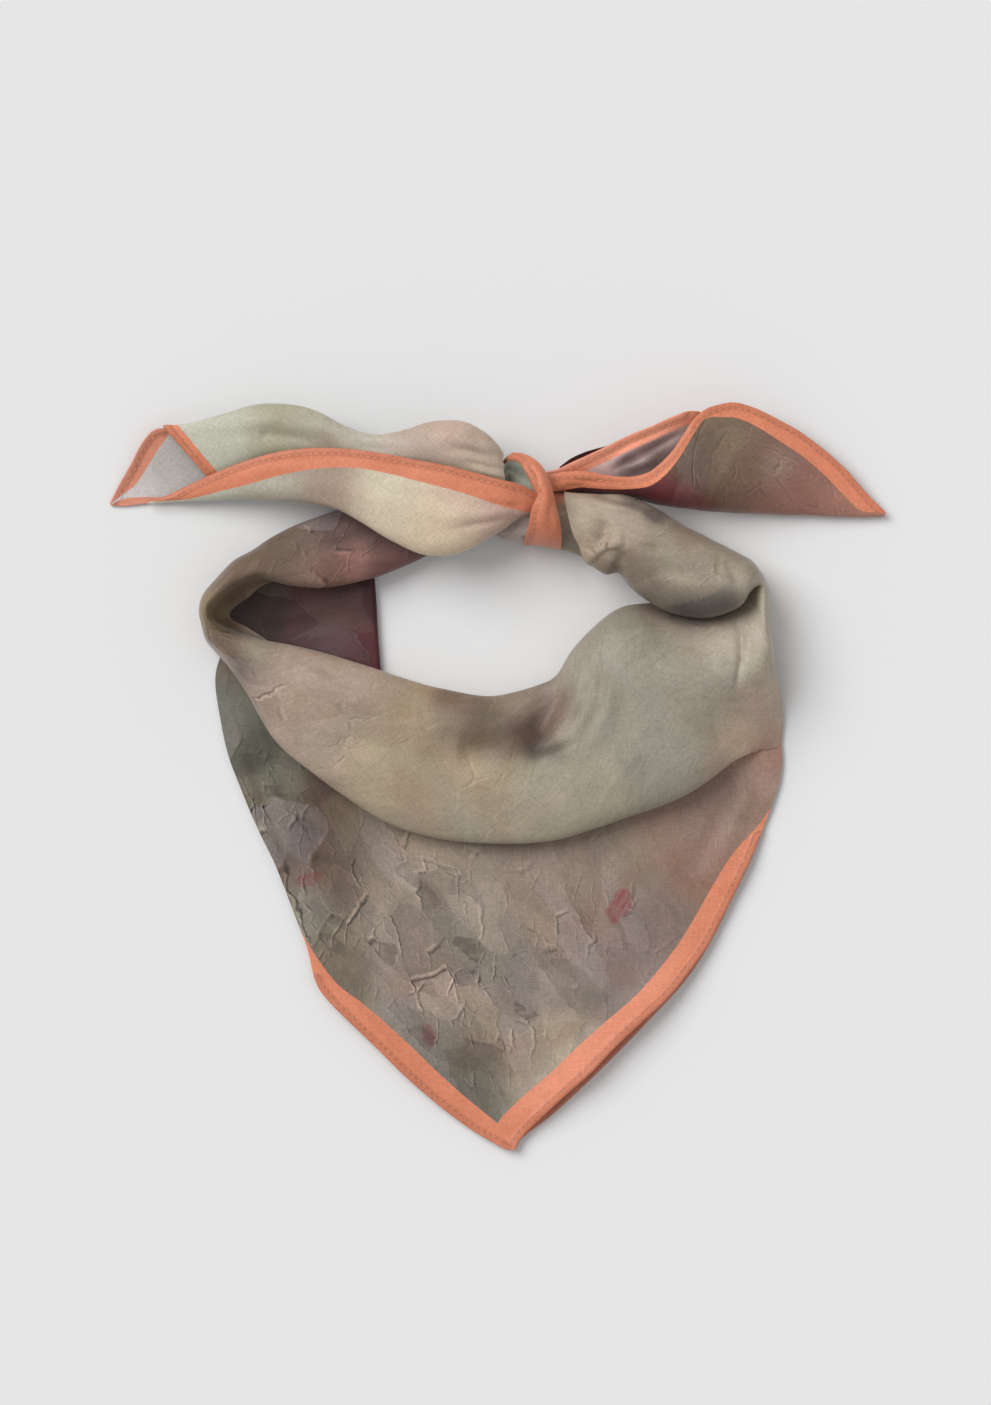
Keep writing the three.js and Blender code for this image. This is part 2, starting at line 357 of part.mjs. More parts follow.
// Grid of a leaf of a tail: like a roll without an inner wall. a and b cut it along the section, as
// widths from the hem, so that the printed edge and the ground can be separate pieces of one surface.
function leafGrid(rows, n, across, a, b, from = 0, to = rows.length - 1) {
  return Array.from({ length: n + 1 }, (_, i) => {
    const c = { ...section(rows, from + ((to - from) * i) / n), roundIn: 0 };
    const fine = rollSection(c, [0, 24, 24, 8]);
    const length = [0];
    for (let k = 1; k < fine.length; k++) length.push(length[k - 1] + fine[k].distanceTo(fine[k - 1]));
    const total = length[length.length - 1];
    const low = Math.min(a(c, total), total - 0.4);
    const high = Math.max(Math.min(b(c, total), total), low + 0.4);
    return Array.from({ length: across + 1 }, (_, j) => {
      // closer together towards the outer wall, where the leaf turns under
      const w = across > 3 ? Math.sin(((j / across) * Math.PI) / 2) : j / across;
      const want = low + (high - low) * w;
      let k = 1;
      while (k < fine.length - 1 && length[k] < want) k++;
      return fine[k - 1].clone().lerp(fine[k], (want - length[k - 1]) / (length[k] - length[k - 1] || 1));
    });
  });
}

// Grid of a plain sheet between a top and a bottom line, with a middle height; a and b are widths
// from the top line
function sheetGrid(rows, n, across, a, b, from = 0, to = rows.length - 1) {
  return Array.from({ length: n + 1 }, (_, i) => {
    const c = section(rows, from + ((to - from) * i) / n);
    const width = Math.hypot(c.botX - c.topX, c.botY - c.topY);
    const low = Math.min(a(c, width), width - 0.3) / width;
    const high = Math.max(Math.min(b(c, width), width) / width, low + 0.3 / width);
    return Array.from({ length: across + 1 }, (_, j) => {
      const t = low + ((high - low) * j) / across;
      const z = c.zTop * (1 - t) * (1 - 2 * t) + c.zMid * 4 * t * (1 - t) + c.zBot * t * (2 * t - 1);
      return new THREE.Vector3(c.topX + (c.botX - c.topX) * t, c.topY + (c.botY - c.topY) * t, z);
    });
  });
}

// Grid of the hanging corner's top layer between widths a and b from its left edge
function cornerGrid(n, across, a, b, from = 0, to = BIB.length - 1) {
  return Array.from({ length: n + 1 }, (_, i) => {
    const c = section(BIB, from + ((to - from) * i) / n);
    const width = Math.hypot(c.rightX - c.leftX, c.rightY - c.leftY);
    const low = a(c, width) / width;
    const high = Math.max(b(c, width) / width, low + 0.3 / width);
    return Array.from({ length: across + 1 }, (_, j) => {
      const t = low + ((high - low) * j) / across;
      const swell = Math.sin(Math.PI * Math.min(1, Math.max(0, t)));
      return new THREE.Vector3(
        c.leftX + (c.rightX - c.leftX) * t,
        c.leftY + (c.rightY - c.leftY) * t - c.dip * swell,
        FRONT_LAYER_Z + c.crown * swell,
      );
    });
  });
}

// One closed wall of cloth around a grid of points, half of WALL to each side
function wall(grid, thickness = WALL) {
  const n = grid.length;
  const m = grid[0].length;
  const normals = grid.map((row, i) =>
    row.map((_, j) => {
      const du = grid[Math.min(n - 1, i + 1)][j].clone().sub(grid[Math.max(0, i - 1)][j]);
      const dv = grid[i][Math.min(m - 1, j + 1)].clone().sub(grid[i][Math.max(0, j - 1)]);
      return du.cross(dv).normalize();
    }),
  );
  const vertices = [];
  for (const side of [0.5, -0.5])
    grid.forEach((row, i) => row.forEach((p, j) => vertices.push(...p.clone().addScaledVector(normals[i][j], side * thickness).toArray())));
  const top = (i, j) => i * m + j;
  const under = (i, j) => n * m + i * m + j;
  const faces = [];
  const quad = (a, b, c, d) => faces.push(a, b, c, a, c, d);
  for (let i = 0; i < n - 1; i++)
    for (let j = 0; j < m - 1; j++) {
      quad(top(i, j), top(i + 1, j), top(i + 1, j + 1), top(i, j + 1));
      quad(under(i, j), under(i, j + 1), under(i + 1, j + 1), under(i + 1, j));
    }
  for (let i = 0; i < n - 1; i++) {
    quad(top(i, 0), under(i, 0), under(i + 1, 0), top(i + 1, 0));
    quad(top(i, m - 1), top(i + 1, m - 1), under(i + 1, m - 1), under(i, m - 1));
  }
  for (let j = 0; j < m - 1; j++) {
    quad(top(0, j), top(0, j + 1), under(0, j + 1), under(0, j));
    quad(top(n - 1, j), under(n - 1, j), under(n - 1, j + 1), top(n - 1, j + 1));
  }
  const geometry = new THREE.BufferGeometry();
  geometry.setAttribute("position", new THREE.Float32BufferAttribute(vertices, 3));
  geometry.setIndex(faces);
  // the table may run the other way round: six times the signed volume tells
  let signed = 0;
  const at = (k) => new THREE.Vector3(vertices[3 * k], vertices[3 * k + 1], vertices[3 * k + 2]);
  for (let k = 0; k < faces.length; k += 3) signed += at(faces[k]).dot(at(faces[k + 1]).cross(at(faces[k + 2])));
  if (signed < 0) {
    for (let k = 0; k < faces.length; k += 3) [faces[k + 1], faces[k + 2]] = [faces[k + 2], faces[k + 1]];
    geometry.setIndex(faces);
  }
  geometry.computeVertexNormals();
  return geometry;
}

// ---- pieces ----
const scarf = new THREE.Group();
function piece(name, geometry, color) {
  const material = new THREE.MeshStandardMaterial({ color, roughness: 0.62, metalness: 0, side: THREE.DoubleSide });
  const mesh = new THREE.Mesh(geometry, material);
  mesh.name = name;
  scarf.add(mesh);
}

// hanging corner: under layer flat on the surface, top layer, its two printed edges
const outline = new THREE.Shape([
  ...BACK_OUTLINE.map((r) => new THREE.Vector2(r.leftX, r.leftY)),
  ...BACK_OUTLINE.slice()
    .reverse()
    .map((r) => new THREE.Vector2(r.rightX, r.rightY)),
]);
piece("corner_under_layer", new THREE.ExtrudeGeometry(outline, { depth: WALL, bevelEnabled: false }), GROUND);
const LAST_ROW = BIB.length - 1;
const LEFT_EDGE_ROW = 9.5; // the left printed edge comes out of the side fold here
const RIGHT_EDGE_ROW = 5.5; // and the right one here
const PANEL_END_ROW = 16.5; // below this the two printed edges meet
const shown = (v) => Math.max(0, v);
piece(
  "corner_top_layer",
  wall(
    cornerGrid(
      33,
      6,
      (c) => (c.innerL > 0.7 ? shown(c.innerL) + GAP / 2 : 0),
      (c, w) => w - (c.innerR > 0.7 ? shown(c.innerR) + GAP / 2 : 0),
      0,
      PANEL_END_ROW,
    ),
  ),
  GROUND,
);
piece("corner_left_edge", wall(cornerGrid(19, 2, () => 0, (c) => c.innerL - GAP / 2, LEFT_EDGE_ROW, LAST_ROW)), EDGE);
piece("corner_right_edge", wall(cornerGrid(27, 2, (c, w) => w - c.innerR + GAP / 2, (c, w) => w, RIGHT_EDGE_ROW, LAST_ROW)), EDGE);

// neck loop: left band and its turn, collar, right band
const END_TRIM = 0.075; // in row positions: half of the gap where two lengths meet
piece("left_band", wall(rollGrid(LEFT_BAND, 20, [1, 3, 3, 2], 0, LEFT_BAND.length - 1 - END_TRIM)), UMBER);
piece("collar", wall(rollGrid(COLLAR, 33, [1, 4, 5, 1], END_TRIM, COLLAR.length - 1)), GROUND);
piece("right_band", wall(rollGrid(RIGHT_BAND, 22, [2, 3, 4, 1], END_TRIM)), GROUND);
piece("right_band_neck", wall(rollGrid(RIGHT_BAND_NECK, 4, [1, 3, 3, 1])), GROUND);

// inner fold seen in the pocket at the left of the loop: its right edge turns under
const innerFold = Array.from({ length: 9 }, (_, i) => {
  const c = section(INNER_FOLD, (i / 8) * (INNER_FOLD.length - 1));
  const points = [];
  for (let j = 0; j <= 4; j++) {
    const t = j / 4;
    points.push(
      new THREE.Vector3(
        c.leftX + (c.rightX - c.leftX) * t,
        c.leftY + (c.rightY - c.leftY) * t,
        c.zLeft + (c.zRight - c.zLeft) * t + c.sag * Math.sin(Math.PI * t),
      ),
    );
  }
  const radius = (c.zRight - 0.8) / 2;
  for (const angle of [45, 90, 135, 180]) {
    const a = THREE.MathUtils.degToRad(angle);
    points.push(new THREE.Vector3(c.rightX + radius * Math.sin(a), c.rightY, c.zRight - radius * (1 - Math.cos(a))));
  }
  points.push(new THREE.Vector3(c.rightX - FOLD_UNDER, c.rightY, 0.8));
  return points;
});
piece("inner_fold", wall(innerFold), UMBER);

// left tail: under layer with its back up, upper leaf, lower leaf and the printed edges
const whole = (c, w) => w;
piece("left_tail_under_layer", wall(sheetGrid(LEFT_TAIL_UNDER, 15, 3, () => 0, whole)), REVERSE);
piece("left_tail_upper_leaf", wall(leafGrid(LEFT_TAIL_UPPER, 16, 6, () => 0, whole)), SAGE);
piece("left_tail_lower_leaf", wall(leafGrid(LEFT_TAIL_LOWER, 21, 6, (c) => c.inner + LEAF_GAP, whole, 2)), SAGE);
piece("left_tail_front_edge", wall(leafGrid(LEFT_TAIL_LOWER, 24, 2, () => 0, (c) => c.inner - LEAF_GAP)), EDGE);

// right tail: under layer with its back up, top layer, and the printed edges
piece("right_tail_under_layer", wall(sheetGrid(RIGHT_TAIL_BACK, 16, 3, (c) => (c.innerTop > 0.5 ? c.innerTop + GAP / 2 : 0), whole)), REVERSE);
piece("right_tail_under_edge", wall(sheetGrid(RIGHT_TAIL_BACK, 12, 2, () => 0, (c) => Math.max(0.8, c.innerTop - GAP / 2), 0, 7)), EDGE);
piece("right_tail_top_layer", wall(leafGrid(RIGHT_TAIL_FRONT, 26, 6, (c) => c.inner + LEAF_GAP, whole, 0, 52 / 3)), UMBER);
piece("right_tail_top_edge", wall(leafGrid(RIGHT_TAIL_FRONT, 30, 2, () => 0, (c) => c.inner - LEAF_GAP)), EDGE);
piece("right_tail_rear_fold", wall(sheetGrid(RIGHT_TAIL_REAR, 6, 2, () => 0, whole)), UMBER);

// knot: the wrap over the top and the gathered cloth inside it
const wrap = Array.from({ length: 19 }, (_, i) => {
  const c = section(KNOT_WRAP, (i / 18) * (KNOT_WRAP.length - 1));
  return Array.from({ length: 6 }, (_, j) => {
    const t = j / 5;
    return new THREE.Vector3(
      c.leftX + (c.rightX - c.leftX) * t,
      c.leftY + (c.rightY - c.leftY) * t,
      c.z + c.dome * Math.sin(Math.PI * t),
    );
  });
});
piece("knot_wrap", wall(wrap), EDGE);

const RING = 12;
function lump(rows, n) {
  const vertices = [];
  const faces = [];
  for (let i = 0; i <= n; i++) {
    const c = section(rows, (i / n) * (rows.length - 1));
    for (let k = 0; k < RING; k++) {
      const a = (2 * Math.PI * k) / RING;
      const fold = 1 + 0.05 * Math.cos(5 * a); // gathered, so the section is lobed
      vertices.push(c.X, c.Y + c.ry * fold * Math.cos(a), c.z + c.rz * fold * Math.sin(a));
    }
  }
  for (let i = 0; i < n; i++)
    for (let k = 0; k < RING; k++) {
      const a = i * RING + k;
      const b = i * RING + ((k + 1) % RING);
      faces.push(a, b, b + RING, a, b + RING, a + RING);
    }
  for (let k = 1; k < RING - 1; k++) faces.push(0, k + 1, k, n * RING, n * RING + k, n * RING + k + 1);
  const geometry = new THREE.BufferGeometry();
  geometry.setAttribute("position", new THREE.Float32BufferAttribute(vertices, 3));
  geometry.setIndex(faces);
  geometry.computeVertexNormals();
  return geometry;
}
piece("knot_core", lump(KNOT_CORE, 10), GROUND);

export default scarf;
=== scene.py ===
"""Looks of the square neck scarf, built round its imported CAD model. Millimetres in the tables, metres in Blender."""

import math

import bpy
import numpy as np

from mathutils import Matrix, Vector


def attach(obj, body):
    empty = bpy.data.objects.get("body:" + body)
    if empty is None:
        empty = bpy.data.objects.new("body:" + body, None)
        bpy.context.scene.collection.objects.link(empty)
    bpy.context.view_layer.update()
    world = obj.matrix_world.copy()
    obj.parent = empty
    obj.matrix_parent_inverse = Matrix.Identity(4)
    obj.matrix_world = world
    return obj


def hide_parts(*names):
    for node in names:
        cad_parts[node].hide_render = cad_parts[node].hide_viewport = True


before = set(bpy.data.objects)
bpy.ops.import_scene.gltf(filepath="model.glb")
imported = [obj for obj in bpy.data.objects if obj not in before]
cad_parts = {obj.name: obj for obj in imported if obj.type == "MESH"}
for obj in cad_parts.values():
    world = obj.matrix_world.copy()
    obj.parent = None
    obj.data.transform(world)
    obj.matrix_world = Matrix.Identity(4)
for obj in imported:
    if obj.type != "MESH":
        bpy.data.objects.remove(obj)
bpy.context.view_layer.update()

MM = 0.001
CLOTH = 0.34  # shown thickness: silk twill with the air that its drape holds
FRONT_LAYER_Z = 1.9  # the hanging corner's top layer
HEM = 2.7  # width of the rolled hem
HEM_RISE = 0.62  # how much thicker the hem is than the cloth
STITCH_IN = 2.1  # stitch line's distance from the hem's edge
STITCH, STITCH_GAP = 1.85, 0.8
STITCH_RADIUS = 0.15


def table(columns, rows):
    """One row for each section of a piece; named columns."""
    array = np.array(rows, float)
    return {name: array[:, i] for i, name in enumerate(columns.split())}


def joined(*tables):
    """One table from several whose end rows meet."""
    return {k: np.concatenate([tables[0][k]] + [t[k][1:] for t in tables[1:]]) for k in tables[0]}


# in/out/foot/left/right/top/bot: points of the section, X and Y
# z...: heights of those points; zTuck, tuck: end of the outer wall, turned under by tuck
# top, peak: height of the crown and where it lies from in (0) to out (1)
# roundIn: 1 = round inner edge, 0 = flat; fade: 1 = the outer side runs out flat, 0 = it is round; inner...: width of the printed edge along the section

LEFT_BAND = table("inX inY footX footY outX outY zIn zFoot zOut zTuck tuck top peak roundIn fade", [
    (0.1, 90.4, -0.6, 92.6, 0.1, 101, 5, 1, 5, 1, 2.5, 12, 0.5, 1, 0),  # under the knot
    (-10, 86.8, -10.7, 89.2, -12.9, 104.4, 5.5, 1, 5, 1, 2.5, 12.5, 0.45, 1, 0),
    (-24.4, 80, -25.1, 82.8, -30.9, 103.4, 6, 1, 5, 1, 2.5, 13, 0.4, 1, 0),  # under the left tail
    (-33.4, 75.8, -34.5, 78.7, -43.1, 100.3, 7.5, 2.6, 5.5, 1, 2.5, 13.5, 0.4, 1, 0),
    (-46, 71.1, -47.4, 74.4, -58.2, 95.6, 9.5, 5.8, 6, 1, 2.5, 14.5, 0.38, 1, 0),  # comes out from under the tail
    (-61.1, 68.3, -62.2, 71.5, -71.2, 90.9, 10.5, 6, 6.5, 1, 2.5, 17, 0.33, 1, 0),
    (-74.1, 68.6, -74.8, 71.1, -81.3, 85.9, 12, 6, 7, 1, 2.5, 19, 0.3, 1, 0),
    (-84.9, 71.5, -83.8, 69, -88.5, 81.2, 15, 5.4, 7.5, 1, 2.5, 21, 0.3, 1, 0),  # lip starts to open into the pocket
    (-92.4, 69.3, -89.5, 64.3, -94.9, 77.3, 17, 5.2, 8, 1, 2, 22.5, 0.3, 1, 0),
    (-98.2, 65.4, -93.1, 61.8, -101.1, 70.8, 18.5, 5, 8.5, 1, 1.6, 23.5, 0.35, 1, 0),
    (-101.8, 61.8, -95.3, 59.8, -105.7, 65, 19, 5, 9, 1, 1.4, 24, 0.4, 1, 0),
    (-102.9, 58.9, -96, 58.2, -107, 59.6, 19, 5, 9, 1, 1.4, 24, 0.42, 1, 0),  # leftmost point of the loop
    (-101.8, 56, -95.3, 56.6, -106.1, 54.2, 18.5, 5, 9, 1.2, 1.4, 23.5, 0.42, 1, 0),
    (-98.5, 53.5, -93.1, 55.3, -104.7, 49.2, 17.5, 5.2, 9, 3, 1.6, 22.5, 0.42, 1, 0),  # meets the collar
])

COLLAR = table("inX inY footX footY outX outY zIn zFoot zOut zTuck tuck top peak roundIn fade", [
    (-98.5, 53.5, -93.1, 55.3, -104.7, 49.2, 17.5, 5.2, 9, 3, 1.6, 22.5, 0.42, 1, 0),  # meets the left band
    (-93.9, 51.7, -90.3, 53.9, -101.4, 44.9, 16, 5.4, 9, 4.4, 1.8, 21.5, 0.42, 1, 0),
    (-88.1, 49.9, -86.3, 51.3, -96, 38.7, 14, 5.6, 8.5, 4.4, 2.2, 20.5, 0.42, 1, 0),
    (-79.1, 48.1, -79.1, 46.7, -89.2, 28.7, 12, 5.8, 8.5, 4.4, 3, 19.5, 0.42, 1, 0),  # over the inner fold
    (-67.2, 45.6, -68.3, 42.7, -79.8, 13.2, 11, 5.8, 8.5, 4.4, 3, 19, 0.4, 1, 0),
    (-54.6, 42, -56.1, 38.7, -66.9, 1.7, 10, 5.8, 8.5, 4.4, 3, 18.5, 0.4, 1, 0),
    (-40.9, 37.7, -42.4, 34.4, -55, -7, 9, 5, 8.5, 4.4, 3, 18, 0.4, 1, 0),
    (-30.9, 34.4, -32.3, 30.8, -40.6, -16, 8, 1.2, 8.5, 4.4, 3, 17.5, 0.4, 1, 0),
    (-20.8, 31.7, -21.9, 27.9, -26.2, -21, 7.5, 1, 8.5, 4.4, 3, 17, 0.42, 1, 0),
    (-11.4, 29.6, -11.8, 25.8, -13.2, -23.2, 7.5, 1, 8.5, 4.4, 3, 17, 0.42, 1, 0),  # middle of the collar
    (-2.4, 28.8, -2.1, 25.1, -0.3, -23.9, 7.5, 1, 8.5, 4.4, 3, 17, 0.45, 1, 0),
    (6.2, 30.3, 7.3, 26.9, 11.3, -23.5, 7.5, 1, 8.5, 4.4, 3, 17, 0.5, 1, 0),
    (14.1, 32.6, 15.9, 29.4, 23.1, -22.1, 8, 1, 8.5, 4.4, 3, 17.5, 0.55, 1, 0),  # pinch in the neck edge
    (21, 36.2, 23.1, 33, 34.7, -18.5, 9, 1, 9, 4.4, 3, 19.5, 0.52, 1, 0),
    (26.4, 44.5, 29.3, 41.6, 46.2, -14.5, 10, 1, 9, 4.4, 3, 22, 0.45, 1, 0),
    (31.8, 51, 34.7, 47.7, 57, -10.9, 11, 1, 9, 4.4, 3, 24, 0.42, 1, 0),
    (39, 57.6, 41.5, 53.9, 67.8, -6.3, 11, 1, 9.5, 4.4, 3, 25.5, 0.42, 1, 0),  # right lobe
    (45.8, 61.1, 48, 57.1, 76.8, -0.5, 9.5, 1, 9.5, 4.4, 3, 26, 0.44, 0.5, 0),
    (54.1, 62.3, 55.5, 58.5, 85.8, 6.2, 7.5, 1, 8, 4.2, 3, 26, 0.48, 0, 0.25),  # goes under the right band
    (62.7, 63.2, 63.8, 59.6, 94.8, 9.6, 6, 1, 3, 2.3, 1.2, 25.5, 0.48, 0, 0.6),
    (71, 63.6, 71.7, 60.3, 101, 10.4, 5.5, 1, 2.2, 2.05, 0.3, 25, 0.48, 0, 1),
    (77.5, 63.9, 78.2, 61.1, 102.5, 17.4, 5.5, 1, 2.2, 1.9, 0.4, 24.5, 0.52, 0, 0.9),  # lobe's outer corner
    (82.5, 64.7, 83.6, 62.1, 101.8, 27.2, 5.5, 1, 5, 2.6, 1.4, 24, 0.58, 0, 0.6),
    (86.5, 65.4, 87.9, 63.6, 100.5, 36.2, 5.5, 1, 9.5, 3.6, 2.2, 23.5, 0.62, 0, 0.25),
    (89, 66.5, 90.8, 65.4, 98.9, 45.2, 6, 1, 11, 2.5, 2, 23, 0.66, 0, 0),
    (90.5, 67.5, 92.3, 67, 97.5, 53.5, 6.5, 1, 11, 1.5, 2, 22.5, 0.66, 0, 0),
    (91, 68.6, 92.8, 68.6, 96.6, 60.3, 7, 1, 11, 1.2, 1.5, 22, 0.66, 0, 0),  # right turn
])

RIGHT_BAND = table("inX inY footX footY outX outY zIn zFoot zOut zTuck tuck top peak roundIn fade", [
    (92.3, 70.2, 93.5, 70.6, 97.3, 64.7, 15, 13.8, 11, 1.2, 1.4, 22.5, 0.55, 1, 0),  # right turn
    (91.5, 67.9, 93, 69.7, 95.9, 70.1, 17, 15, 11, 1.2, 1.6, 24, 0.5, 1, 0),
    (89.7, 65.4, 91.2, 67.9, 93.3, 74.7, 17.8, 15, 11, 1.2, 2, 26, 0.45, 1, 0),
    (87.6, 61.8, 88.7, 64.7, 90.8, 77.6, 18, 14.5, 11, 1.2, 2.5, 27.5, 0.45, 1, 0),  # on the collar's lobe
    (83.6, 59.4, 84.3, 62.5, 87.6, 79.4, 18, 15, 11, 1.2, 2.5, 28, 0.45, 1, 0),
    (78.6, 57.8, 78.9, 61.1, 82.5, 82.1, 18, 15, 11, 1.2, 2.5, 28.5, 0.45, 1, 0),
    (72.5, 57.1, 73.2, 60.3, 77.5, 84.6, 18, 15, 11, 1.4, 2.5, 28.5, 0.45, 1, 0),
    (65.6, 58, 66.3, 61.1, 72.5, 87.2, 17.5, 14.5, 11.5, 3, 2.5, 28.5, 0.45, 1, 0),
    (59.1, 60.3, 59.9, 63.2, 66, 90.4, 17, 14, 12.5, 7, 2.5, 28.5, 0.45, 1, 0),
    (52.7, 64.1, 53.4, 66.8, 58.8, 94.9, 16, 12.5, 16, 13.5, 2.5, 28, 0.45, 1, 0),
    (47.6, 68.3, 48.3, 71.1, 52.3, 98.5, 15, 10, 18.5, 16.5, 2.5, 27.5, 0.45, 1, 0),  # beside the right tail
    (43.7, 73.1, 44.4, 76.2, 45.5, 100.8, 15, 9.5, 19.5, 17.5, 2.5, 27, 0.45, 1, 0),
    (39, 72.6, 39.3, 75.5, 38.3, 101.2, 16, 12, 19.5, 17.5, 2.5, 26, 0.5, 1, 0),  # curled puff at the lower edge
    (36.1, 74, 35.7, 76.9, 32.1, 101.4, 17.5, 15.5, 19.5, 17.5, 2.5, 25, 0.5, 1, 0),
    (35.2, 74.8, 34.6, 77.4, 27.4, 101.6, 18, 16.6, 19.5, 17.8, 2, 23.6, 0.5, 1, 0),
    (33.9, 76.2, 33.2, 78.6, 24.4, 101.7, 18.4, 17, 19.5, 18, 1.6, 22, 0.5, 1, 0),  # edge of the flap at the knot
])

RIGHT_BAND_NECK = table("inX inY footX footY outX outY zIn zFoot zOut zTuck tuck top peak roundIn", [
    (18, 82.8, 18.2, 85.2, 18.4, 103.4, 7, 1, 12, 4, 2.5, 16.5, 0.5, 1),  # inside the knot
    (22.4, 81.9, 22.6, 84.4, 21.6, 103.4, 7, 1, 12, 4, 2.5, 17, 0.5, 1),
    (26.4, 80.9, 26.6, 83.7, 25, 103, 7, 1, 11, 3, 2.5, 17.4, 0.5, 1),
    (31.1, 79.1, 31.1, 81.9, 29, 102, 6, 1, 8, 2, 2.5, 16.5, 0.5, 1),
    (34.4, 77.7, 34.4, 80.5, 32, 101, 5, 1, 6, 2, 2.5, 13.5, 0.5, 1),  # hidden under the flap
])

INNER_FOLD = table("leftX leftY rightX rightY zLeft zRight sag", [
    (-93, 71.5, -46.7, 76.3, 2.6, 4.2, 0),  # under the left band
    (-98, 66, -45.8, 68.5, 2.6, 4.2, -0.6),
    (-99.4, 61, -45.1, 60.3, 2.6, 3.9, -0.9),
    (-99, 56.5, -44.5, 51.7, 2.6, 3.6, -0.9),
    (-96, 52.4, -44, 44.9, 2.6, 3.6, -0.6),
    (-90, 46.5, -43.3, 35.9, 2.6, 3.4, 0),  # under the collar
])

CORNER = table("leftX leftY rightX rightY dip crown innerL innerR", [
    (-98.6, 47, 97.3, 27.6, 15.8, 0.1, 0, 0),  # hidden under the collar
    (-101.6, 35.1, 100.5, 19.7, 14.4, 0.2, 0, 0),
    (-99.3, 18.2, 102.3, 8.9, 10.8, 0.3, 0, 0),
    (-96.7, 7.1, 101.6, -0.5, 7.9, 0.3, 0, 0),
    (-93.9, -0.5, 99.1, -9.1, 5, 0.3, 0, 0),
    (-88.8, -13.1, 95.9, -17.4, 2.2, 0.3, 0, 2.2),  # right border begins
    (-84.5, -22.5, 93, -25.3, 0.7, 0.4, 0, 6.4),
    (-79.5, -32.9, 89.7, -32.9, 0, 1.8, 0, 8.7),
    (-72.3, -51.6, 80.4, -51.6, 0, 3, 0, 10.2),
    (-68.5, -61.7, 75, -61.7, 0, 3, 1.4, 11.2),  # left border begins
    (-65.4, -73.9, 66, -73.9, 0, 2.6, 7.2, 11.9),
    (-60.7, -80.8, 59.9, -80.8, 0, 2.4, 11.2, 12.6),
    (-53.2, -88.3, 51.6, -88.3, 0, 2.1, 12.6, 13),
    (-43.8, -97.3, 42.2, -97.3, 0, 1.8, 13, 13.7),
    (-34.8, -106.3, 33.6, -106.3, 0, 1.4, 13.3, 14.4),
    (-25.1, -115, 23.9, -115, 0, 1, 13.3, 14.8),
    (-15.7, -122.5, 15.9, -122.5, 0, 0.6, 13, 14.4),
    (-8.5, -127.6, 10.9, -127.4, 0, 0.3, 12, 12),
    (-2.4, -131.2, 8, -130.8, 0, 0.1, 9, 9),
    (3, -134.2, 6.6, -134.1, 0, 0, 5, 5),  # tip
])

BACK_OUTLINE = table("leftX leftY rightX rightY", [
    (-98.5, 20.4, 100.2, 19.7),  # hidden under the collar
    (-96.7, 8.9, 100.5, 7.4),
    (-92.4, -0.5, 97.3, -9.1),
    (-83.1, -22.5, 91.5, -25.3),
    (-70.8, -51.6, 80.7, -51.6),
    (-65.4, -71.1, 69.2, -71.1),
    (-52.5, -87.3, 54.8, -87.3),
    (-34.1, -105.3, 37.2, -105.3),
    (-15, -121.5, 19.9, -121.5),
    (-1.7, -130.1, 9.5, -129.4),
    (3.7, -133, 6.2, -133),  # tip
])

LEFT_TAIL_UNDER = table("topX topY botX botY zTop zBot zMid innerTop innerBot", [
    (-139.6, 98.3, -139.2, 97.6, 1, 1, 1, 0.4, 0.4),  # tip
    (-136, 105.3, -134.5, 97.4, 2.2, 1.2, 1.4, 4.2, 2.6),
    (-132, 112.2, -128.4, 98.1, 3.4, 1.5, 2, 7.4, 2.6),
    (-127.7, 120.1, -121.6, 99, 5, 1.8, 2.6, 8.4, 1.6),
    (-123, 124.8, -114.7, 99.4, 6, 2.1, 2.7, 6.4, 0),  # outer corner folds over
    (-115.1, 125.3, -107.2, 99.4, 6.5, 2.6, 3, 0, 0),
    (-104.3, 127.7, -99.3, 99.6, 7, 3.4, 3.8, 0, 0),
    (-92.8, 131.3, -90.6, 99.6, 8.5, 5.3, 5.8, 0, 0),
    (-80.2, 132.7, -78.7, 99.2, 10, 9, 9, 0, 0),
    (-69.4, 131.6, -69, 98.7, 12.5, 11.8, 11.8, 0, 0),
    (-55, 124.8, -56.8, 96, 16.5, 16.8, 16.4, 0, 0),  # crosses the left band
    (-38.8, 121.9, -40.9, 87.3, 17.5, 17.2, 17, 0, 0),
    (-18.3, 126.2, -23.7, 79.8, 18, 17, 17.2, 0, 0),
    (-7.1, 123.7, -9.3, 83.7, 18, 17, 17.4, 0, 0),
    (-0.3, 117.6, -0.6, 88.4, 18, 17.4, 17.6, 0, 0),  # reaches the knot
])

